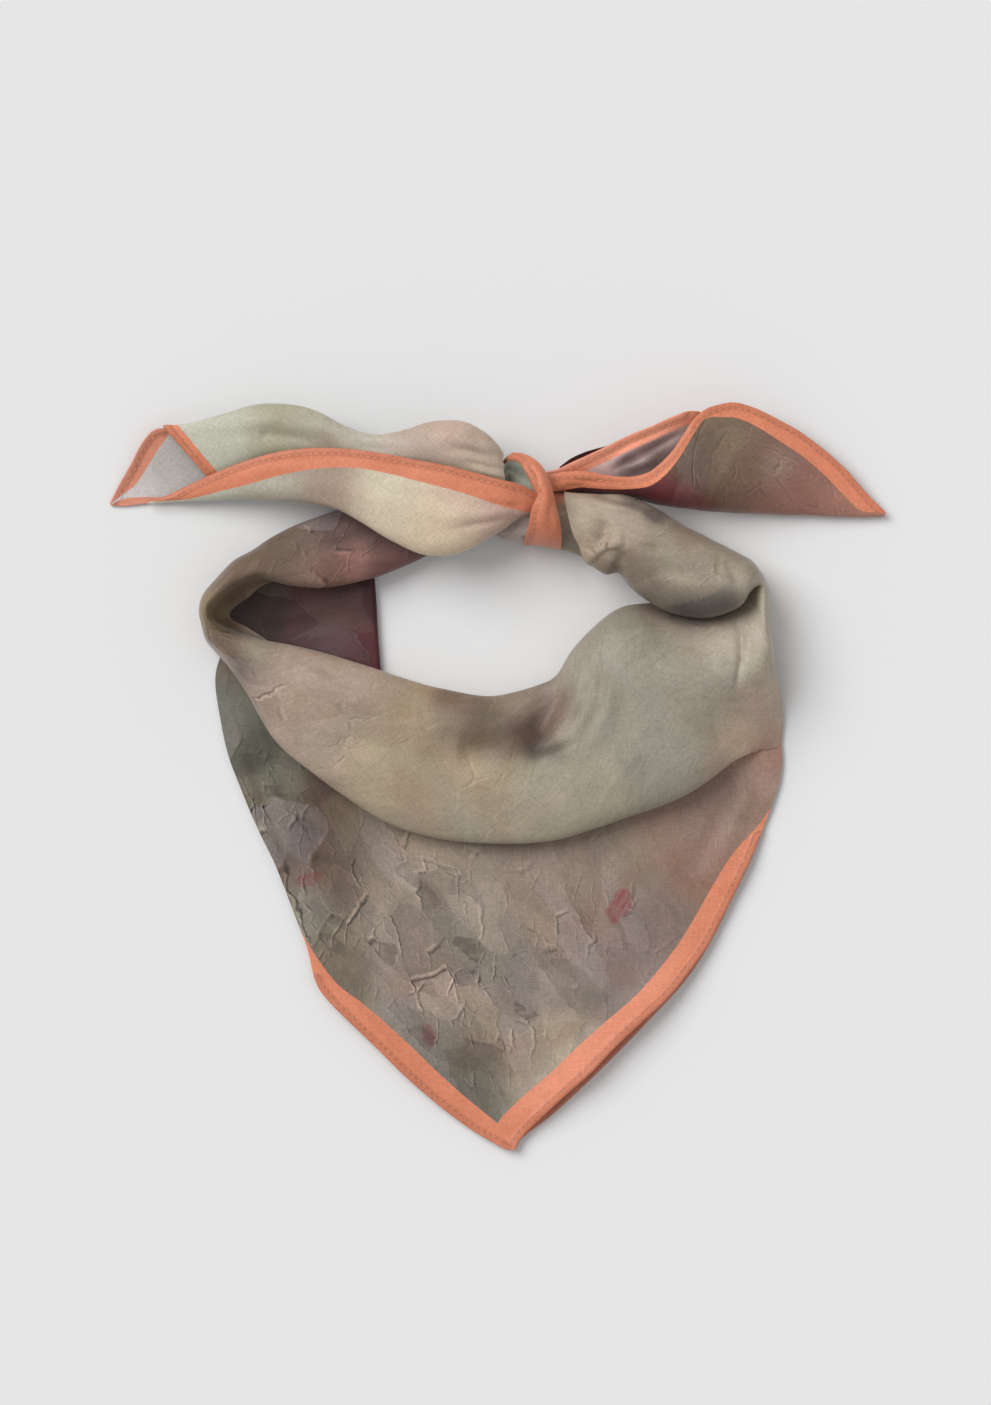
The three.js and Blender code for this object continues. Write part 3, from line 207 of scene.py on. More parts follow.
LEFT_TAIL_UPPER = table("inX inY outX outY zIn zOut zTuck tuck top peak", [
    (-103.4, 106.4, -120.2, 125.8, 7.4, 9, 8.6, 1, 9.6, 0.55),  # hem that crosses the tip
    (-97.8, 106.4, -109.6, 126.9, 8, 10.5, 9.4, 1.6, 12, 0.55),
    (-90.6, 107.5, -98.5, 130, 9.6, 12, 10.4, 2, 15, 0.58),
    (-82, 108.9, -87.4, 133.1, 11.6, 13.5, 11.6, 2, 18, 0.62),  # puff
    (-73.3, 110.4, -75.9, 133.4, 14.2, 15, 13.4, 2, 20, 0.64),
    (-64, 111.1, -65.1, 130.9, 16.6, 17, 15.8, 2, 20.5, 0.62),  # valley
    (-53.9, 111.1, -54.6, 125.3, 18.6, 19.5, 18.6, 1.8, 22, 0.6),
    (-43.8, 110, -43.8, 122.3, 20, 21, 19.6, 1.8, 23.5, 0.6),  # narrowest
    (-33.7, 108.6, -33.4, 123.9, 21, 22, 20, 2, 26, 0.6),
    (-23.7, 106.8, -23.3, 126.9, 20.8, 22, 20, 2, 27.4, 0.62),
    (-13.6, 104.3, -12.9, 127.1, 20.8, 22, 20, 2, 28.2, 0.62),  # puff by the knot
    (-5.7, 102.1, -4.9, 123.3, 20.6, 21.8, 20.2, 2, 27.2, 0.58),
    (-0.3, 100.7, -0.3, 119, 20.4, 21.6, 20.2, 2, 25.8, 0.52),
    (3, 100.3, 1.9, 115.8, 20.2, 21.4, 20.2, 1.6, 24.4, 0.5),  # reaches the knot
])

LEFT_TAIL_LOWER = table("inX inY outX outY zIn zOut zTuck tuck top peak inner", [
    (-124.5, 99.6, -125.9, 98.2, 3.6, 3.4, 3.2, 0.3, 3.9, 0.5, 1.1),  # turns over at the lower edge
    (-119.4, 100.8, -119.4, 98.8, 4.2, 3.8, 3.4, 0.4, 4.8, 0.5, 1.8),
    (-112.2, 104.1, -111.5, 99, 6.2, 4.6, 3.9, 0.6, 6.9, 0.45, 4.7),
    (-105, 107.5, -103.9, 99.2, 9.4, 5.6, 4.4, 1, 10.4, 0.35, 6.8),
    (-97.8, 110.4, -96.7, 99.4, 12.6, 7, 5.6, 1.4, 13.2, 0.3, 7.6),
    (-89.9, 113.3, -88.8, 99.4, 16, 9, 7.8, 1.8, 16.4, 0.28, 8.6),
    (-80.2, 116, -78.7, 98.9, 19.5, 12, 10.8, 2, 19.8, 0.28, 8.6),
    (-70.5, 117.4, -69, 98.3, 22, 15, 13.8, 2, 22.3, 0.28, 7.9),
    (-60.4, 117.6, -58.6, 96.2, 23.6, 19.5, 18.4, 2, 24.4, 0.35, 7.2),  # rests on the left band
    (-50.3, 116.9, -48.9, 91.3, 25, 20.5, 18.9, 2, 26.2, 0.4, 6.7),
    (-40.2, 115.4, -38.1, 84.8, 26.2, 20.5, 18.8, 2, 27.4, 0.4, 7),
    (-29.4, 113.3, -26.5, 79.6, 27, 20.5, 18.8, 2, 28.2, 0.4, 7.7),
    (-17.9, 111.1, -15.4, 79.8, 27.8, 20.5, 18.8, 2, 28.8, 0.38, 8.5),
    (-7.8, 108.6, -6.4, 83.7, 27.8, 20.5, 18.8, 2, 28.6, 0.35, 9),
    (0.8, 106.2, 1.5, 88.4, 27.4, 20.5, 19, 2, 28, 0.35, 9.5),
    (7.7, 104.6, 6.2, 91.7, 25.6, 20.5, 19.4, 1.6, 26.2, 0.35, 9.4),
    (12.3, 102.5, 9.8, 93.6, 24.2, 21, 20.4, 1, 25, 0.4, 8.6),
    (16.6, 100.6, 14.6, 94.4, 22.6, 20.4, 20, 0.8, 23.2, 0.4, 6.4),  # goes into the knot
])

RIGHT_TAIL_BACK = table("topX topY botX botY zTop zBot zMid innerTop innerBot", [
    (14.6, 108.6, 15.4, 104, 17.5, 14, 16.4, 5, 0),  # comes out of the knot
    (21.3, 110.2, 22.1, 104.6, 18.5, 14.4, 17.4, 5, 0),
    (26.4, 112.6, 27.8, 104.6, 19.5, 14, 17.8, 5, 0),
    (31.4, 114.8, 33.9, 104.3, 20, 13.6, 17.8, 5.2, 0),
    (37.9, 117.8, 40.1, 103.2, 20.4, 12.6, 17.4, 5.4, 0),
    (46.5, 122, 48.3, 102.5, 20.6, 11, 16.6, 5.6, 0),
    (54.8, 125.4, 56.6, 101, 20.6, 8.6, 15.4, 5.4, 0),
    (62.7, 128.9, 64.5, 99.6, 20.2, 6, 14, 5.2, 0),
    (69.9, 131, 71.7, 98.9, 19, 3.6, 11.4, 5, 0),  # hems cross
    (78.6, 129.1, 80.7, 98.1, 14, 1.8, 6.4, 3, 0),  # hidden under the front sheet
    (89, 128, 90.8, 97.6, 10, 1.5, 4.4, 0, 0),
    (103.4, 120.8, 104.5, 97.4, 6.4, 1.3, 2.8, 0, 0),
    (118.2, 108.9, 118.5, 97.1, 3.2, 1.1, 1.6, 0, 0),
    (126.8, 101.4, 126.8, 96.3, 1.5, 1, 1.1, 0, 0),  # under the tip
])

RIGHT_TAIL_FRONT = table("inX inY outX outY zIn zOut zTuck tuck top peak inner", [
    (14.4, 107.4, 15, 101.6, 20.8, 15, 13.6, 1.2, 21.2, 0.3, 7.5),  # comes out of the knot
    (21, 108.6, 21.7, 102, 20.8, 14, 12.6, 1.4, 21.2, 0.3, 7.5),
    (26, 109.3, 26.4, 101.6, 20.8, 12.5, 10.8, 1.5, 21.2, 0.3, 7.5),
    (31.8, 109.3, 32.1, 101.6, 20.6, 11.6, 9.4, 1.6, 21, 0.3, 6.8),
    (39, 107.9, 39, 100.8, 20.6, 11, 8.8, 1.8, 21, 0.3, 5.8),
    (47.3, 107.5, 48.3, 99.8, 20.8, 10.5, 8.2, 1.8, 21.2, 0.3, 4.7),
    (53.7, 108.9, 56.6, 98, 21.2, 9, 6.8, 1.8, 21.6, 0.3, 4.7),
    (58.4, 112.4, 63.5, 96.9, 21.6, 7.5, 5, 1.8, 22, 0.3, 4.7),
    (62.7, 116.9, 69.9, 96.2, 21.8, 6.5, 4.2, 1.8, 22.4, 0.3, 4.3),
    (66.3, 122.3, 75.7, 95.6, 22, 5.5, 3.8, 1.8, 22.8, 0.3, 4.1),
    (69.6, 127.3, 80.7, 95.3, 21.6, 5, 3.5, 1.8, 22.6, 0.3, 3.8),  # front hem rises over the back hem
    (73.5, 131.1, 85.4, 94.9, 20.4, 4.6, 3.3, 1.8, 21.4, 0.3, 3.1),
    (78.6, 133.2, 89.7, 94.7, 18.2, 4.4, 3.2, 1.8, 19.6, 0.3, 4.7),
    (84.7, 134.1, 94.1, 94.5, 15.8, 4.2, 3.1, 1.8, 17.6, 0.3, 6.1),  # top of the outer edge
    (91.5, 132.5, 99.5, 94.4, 13.6, 4, 3, 1.8, 15.4, 0.3, 7.6),
    (100.2, 128.4, 105.6, 94.2, 11.2, 3.8, 2.9, 1.6, 12.8, 0.3, 8.8),
    (108.8, 123.9, 111.7, 94, 9, 3.6, 2.8, 1.5, 10.4, 0.3, 9.4),
    (116.7, 117.8, 118.2, 93.8, 7, 3.4, 2.8, 1.3, 8.2, 0.32, 9.7),
    (124.3, 111.1, 124.3, 93.6, 5.6, 3.2, 2.8, 1, 6.4, 0.35, 10.1),
    (131.1, 103.5, 130.1, 93.5, 4.2, 3, 2.8, 0.7, 4.8, 0.4, 7.9),
    (136.5, 97.8, 135.5, 93.7, 3.2, 2.8, 2.7, 0.3, 3.5, 0.45, 2.9),
    (139.4, 95, 139.1, 94.2, 2.8, 2.7, 2.6, 0.1, 2.9, 0.5, 0.5),  # tip
])

RIGHT_TAIL_REAR = table("topX topY botX botY zTop zBot zMid innerTop innerBot", [
    (22.1, 111.1, 22.4, 110, 13, 12, 12.6, 0, 0),
    (26.4, 114.2, 27.5, 112.2, 15, 13, 14.4, 0, 0),
    (31.1, 116.3, 32.5, 114.3, 16.5, 14.5, 15.8, 0, 0),
    (35.4, 117.6, 36.5, 116.1, 17, 15.6, 16.6, 0, 0),
    (39, 118.5, 39.3, 117.8, 16.8, 16, 16.6, 0, 0),
])

KNOT_WRAP = table("leftX leftY rightX rightY z dome", [
    (2.6, 112, 2.2, 113.2, 17.5, 0),  # comes from behind the left end
    (4.2, 113.2, 3.6, 114.4, 21, 0.2),
    (6.6, 113, 6.8, 115.8, 24, 0.6),
    (8.7, 111.4, 10.5, 115, 26.2, 1.1),
    (10.5, 108.8, 13.9, 112.9, 27.6, 1.5),  # over the tail's hem
    (11.8, 105.6, 16.4, 110.2, 28.4, 1.8),
    (13, 103, 17.9, 107.4, 28.8, 2),
    (14.4, 100.8, 19.2, 103.4, 29, 2),  # waist where it crosses
    (13.6, 98.2, 20.4, 98.5, 28.8, 2.2),
    (12.3, 95, 21.6, 93.3, 28, 2.4),
    (11.2, 90.7, 22.4, 88.8, 25.6, 2.4),
    (10.2, 87.2, 22.8, 85.2, 21.4, 2),
    (9.3, 84.7, 22.8, 82.6, 15, 1.2),
    (9.2, 84, 22.7, 81.8, 8, 0.5),
    (10.9, 84.8, 21.3, 83, 2.6, 0),  # turned under at the front
])

KNOT_CORE = table("X Y z ry rz", [
    (-0.6, 90.4, 9, 3, 3.4),
    (0.6, 94.4, 9.4, 8.6, 5.2),
    (3.2, 99, 10, 14.2, 7),
    (6.6, 99, 10.6, 14.2, 8),
    (10, 98.6, 11, 13.8, 8.8),
    (13.4, 97.6, 11.5, 12.6, 9),
    (17, 96.4, 11.5, 11, 8),
    (20.4, 96, 10.6, 7.4, 5),
])

# soft folds (+) and creases (-): where each starts and ends, its width and height
LOOP_FOLDS = table("startX startY endX endY width height", [
    (23, 42, 19.6, 29, 4, -4.4),  # pinch in the neck edge
    (19.6, 29, 15, 18.5, 5, -4.8),
    (15, 18.5, 6.1, 12.6, 5.8, -4.4),
    (30, 13.4, 20.9, 9.2, 1.7, -1.2),
    (20.9, 9.2, 9, 4.5, 2.4, -1),
    (6.1, 12.6, -10, 10.1, 6.4, -4),
    (-10, 10.1, -30, 12, 7, -2.4),
    (33, 50, 28.8, 27.6, 3.4, 0.9),  # ridges round the pinch
    (28.8, 27.6, 22, 12.9, 4, 1.2),
    (22, 12.9, 4, 2.2, 4.6, 1),
    (20, 37, 17, 27, 1.2, 0.45),  # streaks that swirl into it
    (17, 27, 5, 18, 1.2, 0.4),
    (31, 45, 28, 27, 1.2, 0.5),
    (28, 27, 15, 6, 1.3, 0.5),
    (36, 47, 34, 26, 1.3, 0.5),
    (34, 26, 21, 4, 1.4, 0.45),
    (40.5, 47, 39.6, 24, 1.4, 0.45),
    (39.6, 24, 28, 0, 1.5, 0.4),
    (25.6, 40, 23, 25.8, 2, 0.35),
    (23, 25.8, 14, 8, 2.2, 0.4),
    (36.8, 49.2, 35.4, 27.6, 1.8, -0.5),
    (14, 33.2, 9.5, 21.7, 2.8, 0.5),
    (9.5, 21.7, -6, 15.5, 3.2, 0.5),
    (-90.6, 45.6, -64, 21.8, 2.5, -0.9),  # drag lines from the left turn
    (-64, 21.8, -35.2, 3.1, 3.6, -1),
    (-84.9, 47, -56.8, 31.2, 2.5, 0.8),
    (-56.8, 31.2, -24.4, 15, 4, 0.8),
    (-94.2, 40.5, -84.9, 23.3, 2.2, -0.9),
    (-84.9, 23.3, -71.2, 8.9, 2.9, -0.7),
    (-71.2, 43.8, -45.3, 27.6, 2.9, -0.5),
    (-98.2, 49.2, -90.6, 35.5, 1.4, 0.5),
    (-42.4, 27.6, -10, 19.7, 4.3, -0.5),
    (82.9, 58.9, 86.5, 51.3, 1.1, -1.1),  # crease under the right turn
    (86.5, 51.3, 86.5, 42, 1.2, -1.3),
    (86.5, 42, 84, 27.6, 1.4, -0.9),
    (89.4, 57.1, 90.1, 42, 1.8, 0.7),
    (79.3, 49.2, 80, 31.2, 2.9, 0.5),
    (58.4, 55.7, 54.1, 31.2, 5, -0.5),
    (44, 49.2, 39, 20.4, 2.9, 0.6),
    (39, 20.4, 32.5, 6, 3.2, 0.6),
    (41.1, 47.4, 36.8, 27.6, 1.4, -0.5),
    (72.8, 15, 95.1, 25.4, 4.3, 0.8),  # soft fold at the lobe's lower corner
    (77.1, 5.3, 99.5, 19.7, 2.9, -1),
    (54.8, 0.6, 80, 10.3, 4.3, 0.5),
    (22.4, -8.4, 54.8, -4.8, 4.3, -0.6),
    (-71.2, 78, -28, 78, 2.5, 0.8),  # crest highlight of the left band
    (-84.9, 79.4, -60.4, 83.4, 2.5, -0.7),
    (-60.4, 83.4, -35.2, 89.5, 3.2, -0.6),
    (-98.2, 67.2, -84.9, 79.4, 1.8, -0.6),
    (-102.9, 63.6, -102.1, 54.6, 1.1, -0.7),
    (38.6, 93.4, 37.4, 86.2, 2.4, -1.9),  # fold beside the flap
    (37.4, 86.2, 35.2, 79, 2, -2.3),
    (31.4, 96, 33.2, 83.4, 3.2, 0.9),  # the flap
        (44.2, 81.4, 44, 74.8, 1.5, -1.5),  # right of the curled puff
    (39, 76.5, 41.9, 77.3, 1.4, 0.9),  # curled puff
    (49.1, 83, 59.9, 80.9, 1.1, -0.8),  # cross crease
    (51.2, 79.4, 72.8, 75.8, 2.9, 0.5),
    (51.2, 75.1, 71.4, 71.5, 2.5, -0.6),
    (33.2, 100.3, 41.1, 96.7, 1.4, 1.1),  # second ridge at the upper edge
    (41.1, 96.7, 49.1, 95.6, 1.4, 1.2),
    (49.1, 95.6, 58.4, 91.3, 1.4, 1),
    (36.8, 101, 43.3, 99.6, 1.3, -0.8),  # and the hollow behind it
    (43.3, 99.6, 51.9, 97.1, 1.4, -1.8),
    (51.9, 97.1, 61.3, 92.4, 1.4, -1.5),
    (79.3, 82.3, 78.6, 70.8, 1.1, -0.7),  # crease across the band
    (80.7, 79.4, 86.5, 67.2, 1.4, -0.8),
    (87.2, 78, 90.1, 69, 1.8, 0.6),
])

CORNER_FOLDS = table("startX startY endX endY width height", [
    (-99.3, 27.6, -84.9, -19.2, 2.5, 0.8),  # folds from under the collar along the left side
    (-84.9, -19.2, -71.2, -55.2, 3.2, 0.6),
    (-92.8, 15, -76.6, -26.4, 2.2, -0.9),
    (-76.6, -26.4, -63.3, -62.4, 2.9, -0.5),
    (-84.9, 2.4, -64, -37.2, 3.2, 0.7),
    (-71.2, -4.8, -42.4, -55.2, 5, -0.6),
    (-56.8, -15.6, -24.4, -80.4, 7.2, 0.6),
    (73, -37.6, 86, -46.2, 0.9, -0.7),  # across the printed edge
    (92.6, 0.6, 77.1, -37.2, 3.2, 0.7),  # along the right side
    (85.4, -1.2, 69.2, -37.2, 3.2, -0.6),
    (69.2, -15.6, 51.2, -55.2, 5, 0.6),
    (44, -26.4, 22.4, -80.4, 7.9, -0.5),
    (0.8, -33.6, 0.8, -102, 9.4, 0.6),
    (-28, -94.8, 0.8, -123.6, 3.6, 0.4),
    (-58.6, -75, -35.2, -98.4, 2.5, 0.5),
    (58.4, -75, 33.2, -102, 3.6, 0.4),
])

LEFT_UPPER_FOLDS = table("startX startY endX endY width height", [
    (-107.2, 121.2, -82.7, 122.6, 3.2, -0.5),
    (-82.7, 122.6, -55, 118.7, 2.9, -1.5),  # valley beside the hem
    (-95.7, 126.9, -72.6, 129.5, 3.6, 1),  # puff
    (-71.2, 128.4, -49.6, 121.2, 2.5, 0.6),
    (-55, 118.7, -31.6, 115.8, 2.5, -0.8),
    (-24.4, 123.3, -6.4, 121.2, 2.9, 0.9),  # puff by the knot
    (-20.8, 118.3, 2.6, 113.3, 1.8, -1.3),  # folds drawn into the knot
    (-16.5, 121.2, 3, 115.4, 1.4, 0.7),
    (-15.4, 113.3, 4.4, 108.9, 1.4, -0.9),
    (-10, 110.4, 5.1, 106.8, 1.1, 0.5),
])

LEFT_LOWER_FOLDS = table("startX startY endX endY width height", [
    (-92.8, 106.8, -64, 106.8, 2.9, -0.6),
    (-60.4, 106.1, -28, 92.4, 4.3, 0.9),
    (-71.2, 102.5, -53.2, 97.8, 2.5, -0.5),
    (-35.2, 103.2, -10, 96, 3.6, -0.7),
    (-24.4, 92.4, 8, 94.9, 2.9, 0.8),  # folds drawn into the knot
    (-19, 88.1, 9.8, 93.1, 1.4, -0.9),
    (-28, 83.4, -10, 83.4, 2.5, 0.6),
    (-8.2, 97.8, 11.6, 96, 1.4, -0.8),
    (-89.2, 114.7, -53.2, 115.8, 1.4, 0.3),
])

RIGHT_FRONT_FOLDS = table("startX startY endX endY width height", [
    (22.4, 106.1, 51.2, 105.3, 1.8, -0.6),
    (24.2, 108.2, 36.8, 106.8, 1.1, 0.5),
    (51.2, 99.6, 80, 106.8, 3.6, 0.6),
    (69.2, 121.2, 94.4, 103.2, 4.3, -0.7),
    (80, 126.6, 108.8, 110.4, 3.6, 0.6),
    (87.2, 121.2, 123.2, 99.6, 4.3, 0.6),
    (72.8, 99.6, 108.8, 97.8, 2.9, -0.4),
    (22.4, 103.9, 33.2, 103.5, 1.1, -0.8),  # drawn into the knot
])

RIGHT_BACK_FOLDS = table("startX startY endX endY width height", [
    (38.3, 108.2, 46.2, 112.9, 1.4, -1.6),  # crease in the pocket of the right end
    (46.2, 112.9, 57, 118.7, 1.4, -2),
    (57, 118.7, 69.2, 124.8, 1.4, -1.6),
    (36.8, 111.1, 51.2, 118.3, 1.8, 1.2),
    (51.2, 118.3, 65.6, 124.8, 1.8, 1),
    (44, 109.7, 58.4, 114.7, 1.8, 1),
])

# the print's ground colour by region; some rows also paint light and shade into it, where marked
LOOP_TONES = table("X Y spread red green blue", [
    (-37, 77.4, 7.4, 114, 76, 73),  # left band: pinkish crest made lighter as a painted highlight, its lower side darker as painted shade, darker back
    (-56, 88, 9, 92, 70, 66),
    (-52, 78, 5, 158, 114, 106),
    (-72, 84, 8, 108, 90, 78),
    (-34, 90, 9, 84, 62, 60),
    (-64, 75.6, 7.2, 140, 108, 98),
    (-92.8, 72.8, 8.8, 116, 96, 80),
    (-104.3, 58.4, 6.5, 130, 112, 86),  # left turn
    (-95.8, 42.2, 8.8, 104, 88, 76),
    (-88, 46, 5, 160, 150, 134),
    (-67.6, 29.4, 18, 172, 152, 136),  # collar
    (-28, 6, 20, 166, 150, 126),
    (-22, -12, 12, 160, 152, 132),
    (19, 25, 6, 126, 108, 98),  # pinch: dark print, made darker still as painted shade in its valley
    (12, 18, 6, 82, 65, 56),
    (13.5, 11, 3.8, 56, 43, 37),
    (1, 16, 6.6, 88, 71, 61),
    (21.5, 9.4, 3.6, 84, 66, 56),
    (-7, 16, 6.4, 100, 82, 69),
    (-15, 14, 6, 118, 98, 84),
    (-17, 26, 5.2, 116, 98, 83),
    (-8, 21.5, 5, 98, 80, 69),
    (8, 26, 6, 138, 122, 106),
    (27, 12, 6, 158, 148, 130),
    (22, -6, 12, 166, 156, 136),
    (46, 36.2, 17, 150, 144, 130),  # right lobe
    (66, 26.2, 17, 154, 148, 134),
    (85.4, 49.2, 9.8, 180, 168, 152),
    # painted light: the lobe's lower outer slope, which turns away from the light, made lighter
    (87, 13, 7, 214, 190, 168),
    (97, 9, 6, 164, 135, 120),
    # painted light: the lobe's outer edge made lighter
    (97, 27, 7, 190, 174, 158),
    (80, 5, 5, 170, 150, 134),
    (72.8, 75.6, 10.4, 154, 142, 125),  # right band
    # painted shade: the band's underside along its lower edge, made dark in the next rows
    (66.4, 61, 5, 40, 33, 27),
    (73.4, 61, 5.4, 30, 25, 20),
    (80.6, 61.4, 4.4, 46, 38, 31),
    (57, 64, 5, 98, 86, 74),
    (48, 73, 7, 130, 116, 102),
    (40.4, 88.8, 8.2, 164, 148, 130),
    # painted shade: darker along the hollow behind the second ridge at the upper edge
    (48, 99.8, 3, 104, 92, 84),
    (56, 96, 3, 112, 100, 90),
])

CORNER_TONES = table("X Y spread red green blue", [
    (-99.5, 12, 7.2, 112, 110, 97),  # left side
    # painted shade: a dark mark by the crease under the collar
    (-91, 8, 5.4, 78, 74, 64),
    (-89, -14, 11, 112, 108, 94),
    (-60.4, -30.4, 14.6, 92, 75, 64),
    (-70, -50, 9, 118, 112, 98),
    (-60, -68, 10, 110, 98, 84),
    (-28, -30, 18, 142, 128, 114),
    (-10, -65.2, 22.8, 142, 129, 119),  # middle
    (22, -40, 18, 146, 128, 114),
    (78.8, -16.4, 15, 150, 122, 108),  # right side
    (97, 6, 9, 164, 135, 120),
    (48, -62, 14, 130, 116, 110),
    (18, -102, 11, 156, 140, 122),  # towards the tip
    (-16, -104.2, 13, 112, 106, 94),
])

# where the design's knife-laid ridges are strong
LOOP_MARKS = table("X Y spread strength", [
    (-98, 44, 11, 1),
    (-84, 28, 9, 0.5),
    (-55, 12, 14, 0.35),
    (-62, 84, 20, 0.9),
    (-24, 88, 14, 0.6),
    (0, 2, 12, 0.25),
    (70, 66, 11, 0.4),
])

CORNER_MARKS = table("X Y spread strength", [
    (-90, -6, 22, 0.9),
    (-62, -44, 26, 0.9),
    (-12, -82, 30, 1),
    (-20, -34, 20, 0.45),
    (34, -52, 20, 0.5),
])

RIGHT_MARKS = table("X Y spread strength", [
    (66, 110, 14, 0.8),
    (92, 112, 16, 0.5),
    (116, 104, 12, 0.35),
])

LEFT_UPPER_TONES = table("X Y spread red green blue", [
    (-104.8, 117.2, 9.4, 190, 190, 174),  # pale sage
    (-96, 126, 9, 182, 182, 164),
    (-80, 125.8, 9.2, 166, 160, 136),
    (-64, 124.4, 9, 174, 168, 150),
    (-62, 117.6, 5, 138, 115, 93),  # valley beside the hem, made darker as painted shade
    (-50.2, 119.4, 10, 186, 180, 166),
    (-32, 121, 8, 180, 162, 148),
    (-15, 123.9, 7.4, 194, 170, 154),  # pinkish near the knot
    (-2.8, 113.3, 8.6, 184, 166, 148),
])

LEFT_LOWER_TONES = table("X Y spread red green blue", [
    (-110, 101.7, 12.4, 196, 196, 178),
    (-82, 104, 12.4, 180, 174, 158),
    (-62, 102.4, 10.4, 160, 140, 124),
    (-40, 99, 11, 208, 196, 172),
    (-22.4, 89.8, 11.8, 216, 196, 168),  # cream
    (-14, 99, 9, 206, 180, 162),
    (2.8, 96.8, 9.2, 196, 164, 150),
])

RIGHT_FRONT_TONES = table("X Y spread red green blue", [
    (50.8, 101.4, 8.4, 76, 24, 28),  # crimson side
    (61, 99, 7, 124, 52, 58),
    (66.8, 115.2, 8.8, 96, 76, 60),
    (84, 121, 9, 132, 112, 92),
    (94.4, 114.6, 10.2, 124, 94, 80),
    (100, 112, 5, 168, 146, 132),
    (112, 104.4, 12.4, 152, 108, 96),  # brown mauve
    (124, 99, 9, 172, 124, 108),
])

RIGHT_BACK_TONES = table("X Y spread red green blue", [
    (40, 112.8, 5.4, 224, 194, 188),  # pinkish upper side
    (54, 119.8, 6.4, 196, 164, 158),
    (46, 111, 3.5, 100, 80, 76),  # crease, made darker as painted shade
    (57, 115.6, 3.8, 96, 76, 72),
    (48, 108.4, 3.6, 164, 150, 146),  # greyer lower side
    (60, 112, 6.9, 148, 134, 130),
    (68, 120, 6, 196, 166, 158),
])

POCKET_TONES = table("X Y spread red green blue", [
    # the pocket's maroon and brown print, made darker as painted shade of its deep recess
    (-90, 59.3, 7.4, 56, 36, 26),
    (-64, 57, 4.4, 62, 38, 36),
    (-64, 69, 6, 62, 16, 18),
    (-50.2, 66.6, 8.8, 54, 8, 14),  # maroon
    (-61, 50, 8, 76, 42, 42),
    (-48, 46, 7, 78, 30, 34),
])

REVERSE_TONES = table("X Y spread red green blue", [
    (-128.2, 103.4, 8.4, 204, 198, 196),  # pale lilac white
    (-120, 108, 7.4, 184, 178, 172),
    (-35.2, 106.8, 21.6, 192, 188, 182),
])

CORE_TONES = table("X Y spread red green blue", [
    (6.9, 107.6, 4.6, 138, 142, 126),  # grey green above the hem
    (2.7, 88.1, 4.6, 176, 160, 154),  # lilac grey below it
    (23, 100.6, 2, 214, 136, 106),  # the printed edge shows
    (26, 94.4, 4, 152, 132, 118),  # taupe right of the wrap
    (26, 85, 4, 138, 124, 108),
])

KNOT_FOLDS = table("startX startY endX endY width height", [
    (7.3, 112.9, 12.3, 107.5, 0.9, 0.7),  # rolled ridge inside the wrap's left side
    (12.3, 107.5, 14.1, 102.5, 0.9, 0.7),
    (10.2, 112.9, 15.6, 104.6, 0.9, -0.5),
    (15.6, 100.3, 14.1, 88.8, 2.2, 0.5),
    (18.5, 99.6, 19.5, 88.8, 1.4, -0.4),
    (19.5, 97.8, 21.3, 85.2, 1.1, 0.4),
])



# ---- curves and sections ----


def column(values, s):
    """A column at row positions s, on a Catmull-Rom curve through the rows."""
    last = len(values) - 1
    i = np.clip(np.floor(s).astype(int), 0, last - 1)
    t = s - i
    padded = np.concatenate([[2 * values[0] - values[1]], values, [2 * values[-1] - values[-2]]])
    a, b, c, d = padded[i], padded[i + 1], padded[i + 2], padded[i + 3]
    m1, m2 = (c - a) / 2, (d - b) / 2
    return (2 * t**3 - 3 * t**2 + 1) * b + (t**3 - 2 * t**2 + t) * m1 + (3 * t**2 - 2 * t**3) * c + (t**3 - t**2) * m2


def even_rows(rows, n, one, two, start=0.0, end=None):
    """Row positions that are evenly spaced along the piece, and their distances along it."""
    end = len(rows[one + "X"]) - 1 if end is None else end
    s = np.linspace(start, end, 3000)
    step = 0
    for side in (one, two):
        x, y = column(rows[side + "X"], s), column(rows[side + "Y"], s)
        step = step + 0.5 * np.hypot(np.diff(x), np.diff(y))
    length = np.concatenate([[0], np.cumsum(step)])
    even = np.linspace(0, length[-1], n)
    return np.interp(even, length, s), even


def sections(rows, s):
    return {k: column(v, s)[:, None] for k, v in rows.items()}


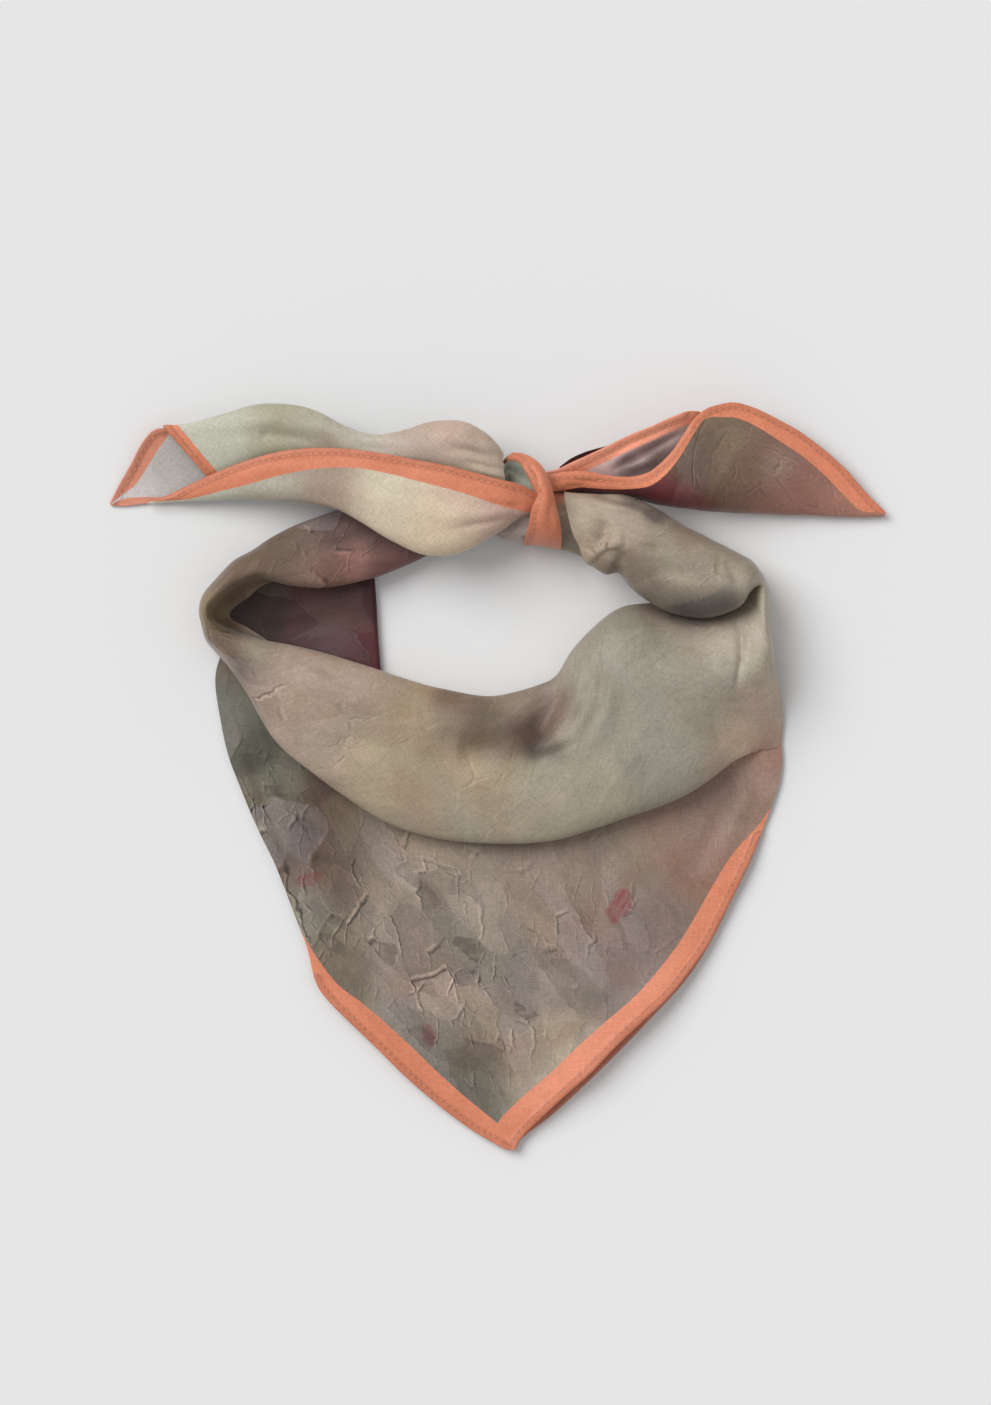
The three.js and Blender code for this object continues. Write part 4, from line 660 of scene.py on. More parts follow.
def roll(c, inner_wall=True, fine=44):
    """Fine points of each rolled section from its foot over the crown to the tuck, and how high on the crown each is."""
    crown_x = c["inX"] + c["peak"] * (c["outX"] - c["inX"])
    crown_y = c["inY"] + c["peak"] * (c["outY"] - c["inY"])
    width = np.hypot(c["outX"] - c["inX"], c["outY"] - c["inY"])
    up = np.linspace(0, math.pi / 2, fine)[None, :]
    down = up[:, ::-1][:, 1:]
    parts, high = [], []

    def add(x, y, z, weight):
        parts.append(np.stack(np.broadcast_arrays(x, y, z), -1))
        high.append(np.broadcast_to(weight, parts[-1].shape[:2]))

    if inner_wall:
        a = down[:, :-1]
        h = 1 - np.cos(a)
        add(
            c["inX"] + (c["footX"] - c["inX"]) * h,
            c["inY"] + (c["footY"] - c["inY"]) * h,
            c["zIn"] + (c["zFoot"] - c["zIn"]) * np.sin(a),
            0.0,
        )
    round_in = c.get("roundIn", 0 * c["inX"])
    h = round_in * (1 - np.cos(up)) + (1 - round_in) * up / (math.pi / 2)
    add(c["inX"] + (crown_x - c["inX"]) * h, c["inY"] + (crown_y - c["inY"]) * h, c["zIn"] + (c["top"] - c["zIn"]) * np.sin(up), np.sin(up))
    fade = c.get("fade", 0 * c["inX"])
    h = (1 - fade) * (1 - np.cos(down)) + fade * down / (math.pi / 2)
    rise = (1 - fade) * np.sin(down) + fade * np.sin(down) ** 2
    add(c["outX"] + (crown_x - c["outX"]) * h, c["outY"] + (crown_y - c["outY"]) * h, c["zOut"] + (c["top"] - c["zOut"]) * rise, np.sin(down))
    a = up[:, 1:]
    h = (1 - np.cos(a)) * c["tuck"] / width
    add(
        c["outX"] + (c["inX"] - c["outX"]) * h,
        c["outY"] + (c["inY"] - c["outY"]) * h,
        c["zOut"] + (c["zTuck"] - c["zOut"]) * np.sin(a),
        0.0,
    )
    return np.concatenate(parts, 1), np.concatenate(high, 1)


def flat_sheet(c, fine=60):
    """Fine points of each section of a plain sheet between its top and bottom lines."""
    t = np.linspace(0, 1, fine)[None, :]
    z = c["zTop"] * (1 - t) * (1 - 2 * t) + c["zMid"] * 4 * t * (1 - t) + c["zBot"] * t * (2 * t - 1)
    x = c["topX"] + (c["botX"] - c["topX"]) * t
    y = c["topY"] + (c["botY"] - c["topY"]) * t
    return np.stack([x, y, z], -1)


def along(points):
    """Distance of every point from the start of its section."""
    step = np.linalg.norm(np.diff(points, axis=1), axis=2)
    return np.concatenate([np.zeros((len(points), 1)), np.cumsum(step, 1)], 1)


def spaced(total, n, first=0, last=0, span=3.6):
    """Where n points go across each section: first and last of them are packed into a hem's width at each end."""
    total = total[:, None]
    narrow = np.minimum(span, 0.3 * total)
    parts = []
    if first:
        parts.append(np.linspace(0, 1, first, endpoint=False)[None, :] * narrow)
    low, high = (narrow if first else 0 * total), (total - narrow if last else total)
    parts.append(low + (high - low) * np.linspace(0, 1, n - first - last)[None, :])
    if last:
        parts.append(high + narrow * np.linspace(0, 1, last + 1)[None, 1:])
    return np.concatenate(parts, 1)


def resample(points, want, *others):
    """Points, and other values of the same sections, at the wanted distances along each section."""
    length = along(points)
    out = np.empty((*want.shape, 3))
    more = [np.empty(want.shape) for _ in others]
    for i in range(len(points)):
        for k in range(3):
            out[i, :, k] = np.interp(want[i], length[i], points[i, :, k])
        for m, o in zip(more, others):
            m[i] = np.interp(want[i], length[i], o[i])
    return (out, *more) if others else out


def normals(points, soft=False):
    du, dv = np.gradient(points, axis=0), np.gradient(points, axis=1)
    n = np.cross(du, dv)
    n /= np.maximum(np.linalg.norm(n, axis=2, keepdims=True), 1e-9)
    return n


# ---- relief of the cloth ----


def noise(x, y, size, seed):
    """Smooth noise from -1 to 1, with features about as large as size."""
    grid = np.random.default_rng(seed).random((97, 97)) * 2 - 1
    x, y = x / size + 400, y / size + 400
    ix, iy = np.floor(x).astype(int), np.floor(y).astype(int)
    tx, ty = x - ix, y - iy

    def weights(t):
        return ((1 - t) ** 3 / 6, (3 * t**3 - 6 * t**2 + 4) / 6, (-3 * t**3 + 3 * t**2 + 3 * t + 1) / 6, t**3 / 6)

    total = 0
    for a, wa in enumerate(weights(tx)):
        for b, wb in enumerate(weights(ty)):
            total = total + wa * wb * grid[(ix + a) % 97, (iy + b) % 97]
    return 2.2 * total


def ridges(x, y, rows):
    """Height of long soft folds and creases: Gaussian across, dying away at both ends. Lines that meet make one fold."""
    folds = []
    for row in zip(*(rows[k] for k in ("startX", "startY", "endX", "endY", "width", "height"))):
        if folds and folds[-1][-1][2:4] == row[:2]:
            folds[-1].append(row)
        else:
            folds.append([row])
    z = np.zeros_like(x)
    for fold in folds:
        total = sum(math.hypot(x2 - x1, y2 - y1) for x1, y1, x2, y2, _, _ in fold)
        highest, done = np.zeros_like(x), 0.0
        for x1, y1, x2, y2, width, height in fold:
            dx, dy = x2 - x1, y2 - y1
            length = math.hypot(dx, dy)
            t = np.clip(((x - x1) * dx + (y - y1) * dy) / length**2, 0, 1)
            place = (done + t * length) / total
            ease = np.clip(np.minimum(place, 1 - place) / 0.38, 0, 1)
            h = height * ease * ease * (3 - 2 * ease) * np.exp(-(((x - x1 - t * dx) ** 2 + (y - y1 - t * dy) ** 2) / width**2))
            highest = np.where(np.abs(h) > np.abs(highest), h, highest)
            done += length
        z = z + highest
    return z


def ledge(x, y, line, drop, fade, soft=0.5):
    """A fold's edge along a line of points: the cloth on the left of the line, going along it, lies lower by drop, and comes
    up again over fade."""
    best = np.full(x.shape, 1e9)
    side = np.zeros_like(x)
    line = np.array(line, float)
    for (x1, y1), (x2, y2) in zip(line[:-1], line[1:]):
        dx, dy = x2 - x1, y2 - y1
        t = np.clip(((x - x1) * dx + (y - y1) * dy) / (dx * dx + dy * dy), 0, 1)
        d = np.hypot(x - x1 - t * dx, y - y1 - t * dy)
        across = (dx * (y - y1) - dy * (x - x1)) / np.hypot(dx, dy)
        near = d < best
        best = np.where(near, d, best)
        side = np.where(near, across, side)
    length = np.hypot(*(line[-1] - line[0]))
    ends = np.clip(np.minimum(np.hypot(x - line[0, 0], y - line[0, 1]), np.hypot(x - line[-1, 0], y - line[-1, 1])) / (0.22 * length), 0, 1)
    ends = np.where(best > np.abs(side) + 0.01, 0, ends)
    return -drop * ends * np.exp(-((best / fade) ** 2)) / (1 + np.exp(np.clip(-side / (0.35 * soft), -60, 60)))


def marked(x, y, rows, base=0.06):
    """How strong the design's ridges are at a place."""
    total = base + 0 * x
    for a, b, s, k in zip(rows["X"], rows["Y"], rows["spread"], rows["strength"]):
        total = total + k * np.exp(-((x - a) ** 2 + (y - b) ** 2) / s**2)
    return np.clip(total, 0, 1)


def pucker(u, hem, seed):
    """Small drawn waves across a hem, which fade away from its stitches."""
    return 0.16 * noise(u, 0.25 * hem, 2.6, seed) * np.exp(-((hem / 3.4) ** 2)) + 0.22 * noise(u, 0.3 * hem, 7.5, seed + 1) * np.exp(-((hem / 6.5) ** 2))


def crumple(u, v, size, height, seed, angle=0.0, stretch=1.0):
    """Random creases: ridged noise, longer along angle than across."""
    c, s = math.cos(angle), math.sin(angle)
    a, b = (u * c + v * s) / stretch, v * c - u * s
    warp = 0.35 * size * noise(a, b, 2.3 * size, seed + 1)
    n = noise(a + warp, b - warp, size, seed)
    return height * (1 - 2 * np.sqrt(n * n + 0.01))


def distance(points, line):
    """Shortest distance from every point to a line of points."""
    flat = points.reshape(-1, 3)
    best = np.full(len(flat), 1e9)
    line = line[:: max(1, len(line) // 110)] if len(line) > 110 else line
    for a, b in zip(line[:-1], line[1:]):
        ab = b - a
        t = np.clip((flat - a) @ ab / max(ab @ ab, 1e-9), 0, 1)
        best = np.minimum(best, np.linalg.norm(flat - a - t[:, None] * ab, axis=1))
    return best.reshape(points.shape[:2])


def hem_profile(d):
    """Extra thickness at a distance from the hem's edge: a flat roll, pressed in by the stitch line."""
    edge = np.sqrt(np.clip(1 - (1 - np.clip(d / 0.7, 0, 1)) ** 2, 0, 1))
    end = 1 / (1 + np.exp(np.minimum((d - HEM) / 0.13, 60)))
    groove = 1 - 0.6 * np.exp(-(((d - STITCH_IN) / 0.36) ** 2))
    return HEM_RISE * edge * end * groove


# ---- meshes ----


def tone_at(x, y, rows):
    """The ground colour at a place, the print's with painted light and shade in some regions: a blend of the piece's
    few region tones.
    """
    colour = np.stack([rows[k] for k in ("red", "green", "blue")], -1) / 255
    linear = np.where(colour <= 0.04045, colour / 12.92, ((colour + 0.055) / 1.055) ** 2.4)
    weight = [np.exp(-((x - a) ** 2 + (y - b) ** 2) / s**2) + 1e-4 / (1 + ((x - a) ** 2 + (y - b) ** 2) / s**2) for a, b, s in zip(rows["X"], rows["Y"], rows["spread"])]
    weight = np.stack(weight, -1)
    weight /= weight.sum(-1, keepdims=True)
    return weight @ linear


def make_mesh(name, vertices, faces, values, material):
    mesh = bpy.data.meshes.new(name)
    vertices = np.array(vertices, float)
    vertices[:, 2] = np.maximum(vertices[:, 2], 0)  # nothing goes through the surface that it lies on
    mesh.from_pydata((vertices * MM).tolist(), [], faces.tolist() if hasattr(faces, "tolist") else faces)
    for key, value in values.items():
        value = np.asarray(value, np.float32)
        if value.ndim == 1:
            mesh.attributes.new(key, "FLOAT", "POINT").data.foreach_set("value", value)
        elif key == "tone":
            rgba = np.concatenate([value, np.ones((len(value), 1), np.float32)], 1)
            mesh.attributes.new(key, "FLOAT_COLOR", "POINT").data.foreach_set("color", rgba.ravel())
        else:
            mesh.attributes.new(key, "FLOAT_VECTOR", "POINT").data.foreach_set("vector", value.ravel())
    mesh.polygons.foreach_set("use_smooth", [True] * len(mesh.polygons))
    mesh.set_sharp_from_angle(angle=math.radians(62))
    mesh.materials.append(material)
    piece = bpy.data.objects.new(name, mesh)
    bpy.context.scene.collection.objects.link(piece)
    return piece


def cloth_piece(name, points, thick, u, v, tone, border, hem, material, face_up=True, mark=0.0):
    """A closed sheet round a grid of points, half of its thickness to each side. u, v: where each point is on the flat
    cloth. border: how far inside the printed edge it is. hem: distance from the hem. face_up: the printed side is up."""
    n, m = points.shape[:2]
    normal = normals(points)
    turned = normal[..., 2].mean() < 0
    if turned:
        normal = -normal
    half = (thick / 2)[..., None] * normal
    vertices = np.concatenate([(points + half).reshape(-1, 3), (points - half).reshape(-1, 3)])
    k = np.arange(n * m).reshape(n, m)
    a, b, c, d = k[:-1, :-1], k[1:, :-1], k[1:, 1:], k[:-1, 1:]
    low = n * m
    faces = [
        np.stack([a, b, c, d], -1).reshape(-1, 4),
        np.stack([a, d, c, b], -1).reshape(-1, 4) + low,
    ]
    for one, two in ((k[:-1, 0], k[1:, 0]), (k[1:, -1], k[:-1, -1]), (k[0, 1:], k[0, :-1]), (k[-1, :-1], k[-1, 1:])):
        faces.append(np.stack([one, one + low, two + low, two], -1))
    faces = np.concatenate(faces)
    if turned:
        faces = faces[:, ::-1]

    def both(x):
        x = x.reshape(n * m, -1) if x.ndim == 3 else x.ravel()
        return np.concatenate([x, x])

    side = np.concatenate([np.full(n * m, 0.0 if face_up else 1.0), np.full(n * m, 1.0 if face_up else 0.0)])
    flat = np.stack([u, v, np.zeros_like(u)], -1)
    values = {
        "flat": both(flat),
        "tone": both(tone),
        "border": both(border),
        "hem": both(hem),
        "side": side,
        "mark": both(mark + 0 * u),
    }
    return make_mesh(name, vertices, faces, values, material)


def line_at(points, hem, from_end=False, at=STITCH_IN):
    """The line at a distance from the hem along one side of a grid, with its normals. Rows that miss it are left out."""
    normal = normals(points)
    if normal[..., 2].mean() < 0:
        normal = -normal
    if from_end:
        points, normal, hem = points[:, ::-1], normal[:, ::-1], hem[:, ::-1]
    half = points.shape[1] // 2
    found, up = [], []
    for p, n, d in zip(points, normal, hem):
        d = d[:half]
        k = np.flatnonzero((d[:-1] < at) & (d[1:] >= at))
        if len(k) and d[0] < 0.6:
            i = k[0]
            t = (at - d[i]) / (d[i + 1] - d[i])
            found.append(p[i] + t * (p[i + 1] - p[i]))
            up.append(n[i] + t * (n[i + 1] - n[i]))
    return np.array(found), np.array(up)


def stitches(name, lines, material, lift=0.16):
    """Straight machine stitches along lines: short rounded lengths of thread that dive in at both ends."""
    rng = np.random.default_rng(11)
    ring, rings = 6, 7
    vertices, faces, index = [], [], []
    for points, up in lines:
        if len(points) < 3:
            continue
        length = np.concatenate([[0], np.cumsum(np.linalg.norm(np.diff(points, axis=0), axis=1))])
        at = STITCH_GAP
        while at + STITCH < length[-1]:
            size = STITCH * rng.uniform(0.92, 1.05)
            s = np.linspace(at, at + size, rings)
            centre = np.stack([np.interp(s, length, points[:, k]) for k in range(3)], -1)
            normal = np.stack([np.interp(s, length, up[:, k]) for k in range(3)], -1)
            normal /= np.linalg.norm(normal, axis=1, keepdims=True)
            tangent = np.gradient(centre, axis=0)
            tangent /= np.linalg.norm(tangent, axis=1, keepdims=True)
            side = np.cross(tangent, normal)
            t = np.linspace(-1, 1, rings)
            rise = CLOTH / 2 + lift * (1 - t**4) - 0.12 * t**4
            radius = STITCH_RADIUS * np.sqrt(1 - 0.75 * t**6)
            wander = rng.uniform(-0.06, 0.06)
            base = len(vertices) * 1
            for i in range(rings):
                for k in range(ring):
                    a = 2 * math.pi * k / ring
                    vertices.append(centre[i] + normal[i] * (rise[i] + radius[i] * math.sin(a)) + side[i] * (radius[i] * math.cos(a) * 1.15 + wander))
            for i in range(rings - 1):
                for k in range(ring):
                    p, q = base + i * ring + k, base + i * ring + (k + 1) % ring
                    faces.append((p, q, q + ring, p + ring))
            faces.append(tuple(base + k for k in range(ring))[::-1])
            faces.append(tuple(base + (rings - 1) * ring + k for k in range(ring)))
            index += [rng.random()] * (ring * rings)
            at += size + STITCH_GAP * rng.uniform(0.85, 1.15)
    return make_mesh(name, vertices, faces, {"lot": np.array(index)}, material)


# ---- materials ----


class Graph:
    """A material's node tree, with short calls for its nodes."""

    def __init__(self, name):
        self.material = bpy.data.materials.new(name)
        self.material.use_nodes = True
        self.tree = self.material.node_tree
        self.tree.nodes.clear()

    def put(self, socket, value):
        if isinstance(value, bpy.types.NodeSocket):
            self.tree.links.new(value, socket)
        else:
            socket.default_value = value

    def node(self, kind, inputs=None, out=0, **settings):
        node = self.tree.nodes.new(kind)
        for key, value in settings.items():
            setattr(node, key, value)
        for key, value in (inputs or {}).items():
            self.put(node.inputs[key], value)
        return node if out is None else node.outputs[out]

    def math(self, operation, *values, clamp=False):
        return self.node("ShaderNodeMath", dict(enumerate(values)), operation=operation, use_clamp=clamp)

    def add(self, a, b):
        return self.math("ADD", a, b)

    def times(self, a, b):
        return self.math("MULTIPLY", a, b)

    def step(self, value, low, high):
        """0 below low, 1 above high, smooth between."""
        node = self.node("ShaderNodeMapRange", None, out=None, interpolation_type="SMOOTHSTEP")
        for key, x in ((0, value), (1, low), (2, high), (3, 0.0), (4, 1.0)):
            self.put(node.inputs[key], x)
        return node.outputs[0]

    def mix(self, factor, a, b, blend="MIX"):
        node = self.node("ShaderNodeMix", None, out=None, data_type="RGBA", blend_type=blend)
        self.put(node.inputs["Factor"], factor)
        self.put(node.inputs["A"], a)
        self.put(node.inputs["B"], b)
        return node.outputs["Result"]

    def value(self, name):
        return self.node("ShaderNodeAttribute", out="Fac", attribute_name=name)

    def noise(self, vector, scale, detail=2.0, rough=0.5, distortion=0.0, out=0):
        return self.node("ShaderNodeTexNoise", {"Vector": vector, "Scale": scale, "Detail": detail, "Roughness": rough, "Distortion": distortion}, out=out)

    def moved(self, vector, move=(0, 0, 0), turn=0.0, scale=(1, 1, 1)):
        return self.node("ShaderNodeMapping", {"Vector": vector, "Location": move, "Rotation": (0, 0, turn), "Scale": scale})

    def grey(self, value):
        return self.node("ShaderNodeCombineColor", {0: value, 1: value, 2: value})

    def strokes(self, vector, turn, stretch, move=(0, 0, 0)):
        """Turned, and then drawn out along the new X."""
        return self.moved(self.moved(vector, move, turn), scale=(stretch, 1.0, 1.0))

    def light(self, colour, factor):
        """colour made lighter or darker by a factor."""
        return self.mix(1.0, colour, self.grey(factor), "MULTIPLY")


def srgb(red, green, blue):
    c = np.array([red, green, blue]) / 255
    return (*np.where(c <= 0.04045, c / 12.92, ((c + 0.055) / 1.055) ** 2.4).tolist(), 1.0)


ORANGE = srgb(212, 129, 97)
REVERSE = srgb(206, 200, 200)


def silk(name, relief=1.0, dabs=(), patches=1.0, seed=0.0, turn=0.0, glow=1.0, back_tone=False):
    """Printed silk twill: a generic brushed and knife-laid design over the piece's tones, an orange printed edge, a
    paler
    back. relief, patches: strength of its ridges and patches. dabs: crimson dabs, each with its place on the flat
    cloth,
    length, width, angle and strength. turn: how the strokes run. glow: how much lighter its orange edge is painted;
    above 1 this is painted light. back_tone: the piece's tones are those of its back."""
    g = Graph(name)
    flat = g.node("ShaderNodeAttribute", out="Vector", attribute_name="flat")
    tone = g.node("ShaderNodeAttribute", out="Color", attribute_name="tone")
    side, border, hem, mark = g.value("side"), g.value("border"), g.value("hem"), g.value("mark")
    p = g.moved(flat, move=(seed, seed * 0.7, 0))

    def wobble(vector, size, amount, move=0.0):
        shift = g.node("ShaderNodeVectorMath", {0: g.noise(g.moved(vector, (move, move, 0)), 1 / size, 2, out=1), 1: (0.5, 0.5, 0.5)}, operation="SUBTRACT")
        return g.node("ShaderNodeVectorMath", {0: shift, 1: (amount, amount, 0.0), 2: vector}, operation="MULTIPLY_ADD")

    def cells(vector, size, feature="F1", out="Color", soft=None):
        sockets = {"Vector": vector, "Scale": 1 / size}
        if feature == "SMOOTH_F1":
            sockets["Smoothness"] = soft
        return g.node("ShaderNodeTexVoronoi", sockets, out=None, feature=feature, voronoi_dimensions="2D").outputs[out]

    def centred(value, amount):
        return g.times(g.math("SUBTRACT", value, 0.5), amount)

    # broad cloudy shifts of the ground: warmer, greener, darker
    warm = g.step(g.noise(p, 1 / 40, 3, 0.5, 0.5), 0.46, 0.7)
    colour = g.mix(g.times(warm, 0.42 * patches), tone, g.mix(1.0, tone, srgb(244, 206, 190), "MULTIPLY"))
    green = g.step(g.noise(g.moved(p, (71, 13, 0)), 1 / 30, 3, 0.5, 0.6), 0.5, 0.72)
    colour = g.mix(g.times(green, 0.34 * patches), colour, g.mix(1.0, colour, srgb(222, 238, 210), "MULTIPLY"))
    colour = g.light(colour, g.add(centred(g.noise(g.moved(p, (9, 210, 0)), 1 / 22, 4, 0.6, 0.8), 0.42 * patches), 1.0))

    # patches laid with a broad knife: stretched cells with their own lightness and hue, strong where mark is
    bent = wobble(wobble(wobble(p, 30, 16), 6, 3.0, 40), 2.2, 1.3, 70)
    laid = g.strokes(bent, turn, 0.4)
    tint = g.node("ShaderNodeSeparateColor", {0: cells(laid, 11.5, "SMOOTH_F1", soft=0.16)}, out=None)
    strong = g.math("MULTIPLY", g.add(g.times(mark, 0.8), 0.14), patches, clamp=True)
    colour = g.light(colour, g.add(g.times(centred(tint.outputs[0], 0.6), strong), 1.0))
    colour = g.mix(g.times(g.step(tint.outputs[1], 0.6, 0.84), g.times(strong, 0.36)), colour, srgb(160, 150, 150))
    colour = g.mix(g.times(g.step(tint.outputs[2], 0.66, 0.88), g.times(strong, 0.36)), colour, srgb(176, 156, 132))
    small = g.strokes(wobble(wobble(p, 9, 5, 15), 1.8, 1.0, 30), turn - 0.4, 0.5, (60, 20, 0))
    facets = g.node("ShaderNodeSeparateColor", {0: cells(small, 5.2)}, out=None)
    colour = g.light(colour, g.add(g.times(centred(facets.outputs[0], 0.4), g.times(strong, 0.8)), 1.0))

    # bristle streaks along the strokes
    for angle, size, amount, move in ((turn, 2.2, 0.46, 5.0), (turn + 1.1, 3.4, 0.3, 41.0)):
        q = g.strokes(wobble(p, 26, 14, move), angle, 0.1, (move, move, 0))
        stroke = g.noise(q, 1 / size, 3, 0.6, 0.2)
        where = g.step(g.noise(g.moved(p, (move * 3, 7, 0)), 1 / 20, 2), 0.4, 0.62)
        colour = g.light(colour, g.add(g.times(centred(stroke, amount * patches), g.add(g.times(where, 0.8), 0.2)), 1.0))

    # ridges of thick paint in the design: edges of the cells, pale on one side and dark on the other
    def edge(vector, size, width, move):
        e = cells(g.moved(vector, (move, move, 0)), size, "DISTANCE_TO_EDGE", "Distance")
        return g.step(e, width, width * 0.25)

    total = 0.0
    for vector, size, width, offset, amount, where_size, move in (
        (laid, 11.5, 0.045, 0.42, 1.0, 17, 88.0),
        (g.strokes(bent, turn + 0.3, 0.28, (33, 70, 0)), 6.5, 0.06, 0.36, 0.8, 11, 131.0),
        (small, 5.2, 0.07, 0.3, 0.5, 8, 17.0),
    ):
        where = g.step(g.noise(g.moved(p, (5, move, 0)), 1 / where_size, 2), 0.47, 0.6)
        pair = g.math("SUBTRACT", edge(vector, size, width, 0.0), edge(vector, size, width, offset))
        total = g.add(g.times(g.times(pair, where), amount), total)
    emboss = g.times(total, g.add(mark, 0.05))
    pale = g.math("MAXIMUM", emboss, 0.0)
    deep = g.math("MAXIMUM", g.times(emboss, -1.0), 0.0)
    rough_paint = g.noise(p, 1 / 1.3, 3, 0.7)
    colour = g.light(colour, g.add(g.times(centred(rough_paint, 0.7 * relief), mark), 1.0))
    colour = g.light(colour, g.add(g.times(pale, 0.7 * relief), 1.0))
    colour = g.light(colour, g.math("SUBTRACT", 1.0, g.math("MULTIPLY", deep, 0.78 * relief, clamp=True)))

    # a few crimson dabs, broken up by the bristles
    worn = g.step(g.noise(g.moved(p, (4, 400, 0)), 1 / 4.5, 2), 0.3, 0.56)
    for x, y, long, wide, angle, amount in dabs:
        q = g.moved(g.moved(wobble(wobble(flat, 7, 5, 55), 2, 1.6, 22), (-x, -y, 0)), (0, 0, 0), -angle)
        reach = g.node("ShaderNodeVectorMath", {0: g.moved(q, scale=(2 / long, 2 / wide, 1))}, out="Value", operation="LENGTH")
        scuff = g.step(g.noise(g.strokes(flat, -angle, 0.1), 1 / 1.5, 3), 0.34, 0.62)
        inside = g.times(g.times(g.step(reach, 1.08, 0.8), g.add(g.times(worn, 0.5), 0.5)), g.add(g.times(scuff, 0.5), 0.5))
        colour = g.mix(g.times(inside, amount), colour, srgb(134, 34, 46))
    dark = g.times(g.step(facets.outputs[2], 0.93, 0.985), worn)
    colour = g.mix(g.times(g.times(dark, mark), 0.62 * relief), colour, srgb(66, 52, 46))

    # the back shows the print faintly
    if back_tone:
        back = g.light(tone, g.add(centred(g.noise(p, 1 / 14, 3), 0.14), 1.0))
    else:
        back = g.mix(0.84, colour, REVERSE)
    ground = g.mix(side, colour, back)

    # orange printed edge, the same on both sides, darker where the hem is rolled and paler inside it; glow above 1
    # paints light onto it
    orange = g.light(ORANGE, g.add(centred(g.noise(flat, 1 / 7, 3), 0.2), glow))
    orange = g.mix(g.times(side, 0.1), orange, REVERSE)
    rolled = g.step(hem, 3.1, 2.5)
    orange = g.light(orange, g.math("SUBTRACT", 1.03, g.times(rolled, 0.17)))
    # painted shade: darker along the stitch line's groove
    orange = g.light(orange, g.math("SUBTRACT", 1.0, g.times(g.times(g.step(hem, 1.5, 2.1), g.step(hem, 2.7, 2.1)), 0.18)))
    bleed = centred(g.noise(flat, 1 / 0.9, 2), 0.5)
    colour = g.mix(g.step(g.add(border, bleed), -0.12, 0.22), ground, orange)

    # grain of the weave, slight soiling and unevenness of the dye
    grain = g.noise(g.moved(flat, (0, 0, 0), 0.785), 1 / 0.62, 2, 0.75)
    slub = g.noise(g.strokes(flat, 0.785, 0.1), 1 / 0.55, 2, 0.6)
    slub_two = g.noise(g.strokes(flat, -0.785, 0.1, (7, 3, 0)), 1 / 0.6, 2, 0.6)
    uneven = g.noise(flat, 1 / 17, 2)
    coarse = g.noise(g.moved(flat, (31, 5, 0)), 1 / 1.35, 2, 0.7)
    factor = g.add(g.add(centred(grain, 0.5), centred(coarse, 0.34)), g.add(centred(slub, 0.4), centred(slub_two, 0.34)))
    colour = g.light(colour, g.add(g.add(factor, centred(uneven, 0.08)), 1.0))

    # twill lines and fine crinkle in the surface
    twill = g.node("ShaderNodeTexWave", {"Vector": g.moved(flat, (0, 0, 0), 0.785), "Scale": 1 / 0.9, "Distortion": 0.6, "Detail": 1.0, "Detail Scale": 1.0}, out=1)
    crinkle = g.noise(g.moved(flat, (3, 9, 0), 0.3, (0.5, 1, 1)), 1 / 4.5, 2, 0.5, 0.3)
    height = g.add(g.times(twill, 0.02), g.add(g.times(crinkle, 0.14), g.times(grain, 0.045)))
    bump = g.node("ShaderNodeBump", {"Height": height, "Strength": 0.75, "Distance": MM})

    rough = g.add(g.times(g.noise(flat, 1 / 6, 2), 0.12), 0.42)
    shader = g.node(
        "ShaderNodeBsdfPrincipled",
        {
            "Base Color": colour,
            "Roughness": rough,
            "Normal": bump,
            "Specular IOR Level": 0.36,
            "Sheen Weight": 0.16,
            "Sheen Roughness": 0.35,
            "Sheen Tint": (1.0, 0.97, 0.93, 1.0),
        },
        out="BSDF",
    )
    g.node("ShaderNodeOutputMaterial", {"Surface": shader}, out=None)
    return g.material


def thread(name):
    g = Graph(name)
    lot = g.value("lot")
    place = g.node("ShaderNodeTexCoord", out="Object")
    twist = g.node("ShaderNodeTexWave", {"Vector": place, "Scale": 900.0, "Distortion": 0.4}, out=1)
    colour = g.light(srgb(232, 150, 114), g.add(g.times(lot, 0.2), 0.84))
    bump = g.node("ShaderNodeBump", {"Height": twist, "Strength": 0.3, "Distance": 0.0001})
    shader = g.node("ShaderNodeBsdfPrincipled", {"Base Color": colour, "Roughness": 0.45, "Normal": bump, "Sheen Weight": 0.3}, out="BSDF")
    g.node("ShaderNodeOutputMaterial", {"Surface": shader}, out=None)
    return g.material


ground_silk = silk("printed_ground", relief=0.9, patches=0.9, seed=0, turn=0.35)
corner_silk = silk(
    "printed_ground_corner",
    relief=1.0,
    dabs=((-1.6, -64, 14, 7.5, 0.3, 0.75), (-83, -48, 9, 6, 1.2, 0.45), (-74, 22, 10, 6, -0.5, 0.4)),
    patches=1.1,
    seed=260,
    turn=-1.25,
)
pale_silk = silk("printed_pale", relief=0.0, patches=0.35, seed=520, turn=0.2)
# orange edge painted lighter: painted light on the right end's front edge
dark_silk = silk("printed_dark", relief=0.9, patches=0.5, seed=777, turn=0.5, glow=1.14)
reverse_silk = silk("cloth_reverse", relief=0.0, patches=0.3, seed=911, back_tone=True)
# orange edge painted lighter still: painted light on the right end's back edge
right_reverse_silk = silk("cloth_reverse_right", relief=0.0, patches=0.3, seed=940, glow=1.32, back_tone=True)
edge_silk = silk("printed_edge", relief=0.0, patches=0.4, seed=1033)
edge_thread = thread("edge_thread")

FAR = 99.0


def finish_piece(piece, nodes, stitched=()):
    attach(piece, "root")
    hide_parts(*nodes)
    for s in stitched:
        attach(s, "root")
    return piece


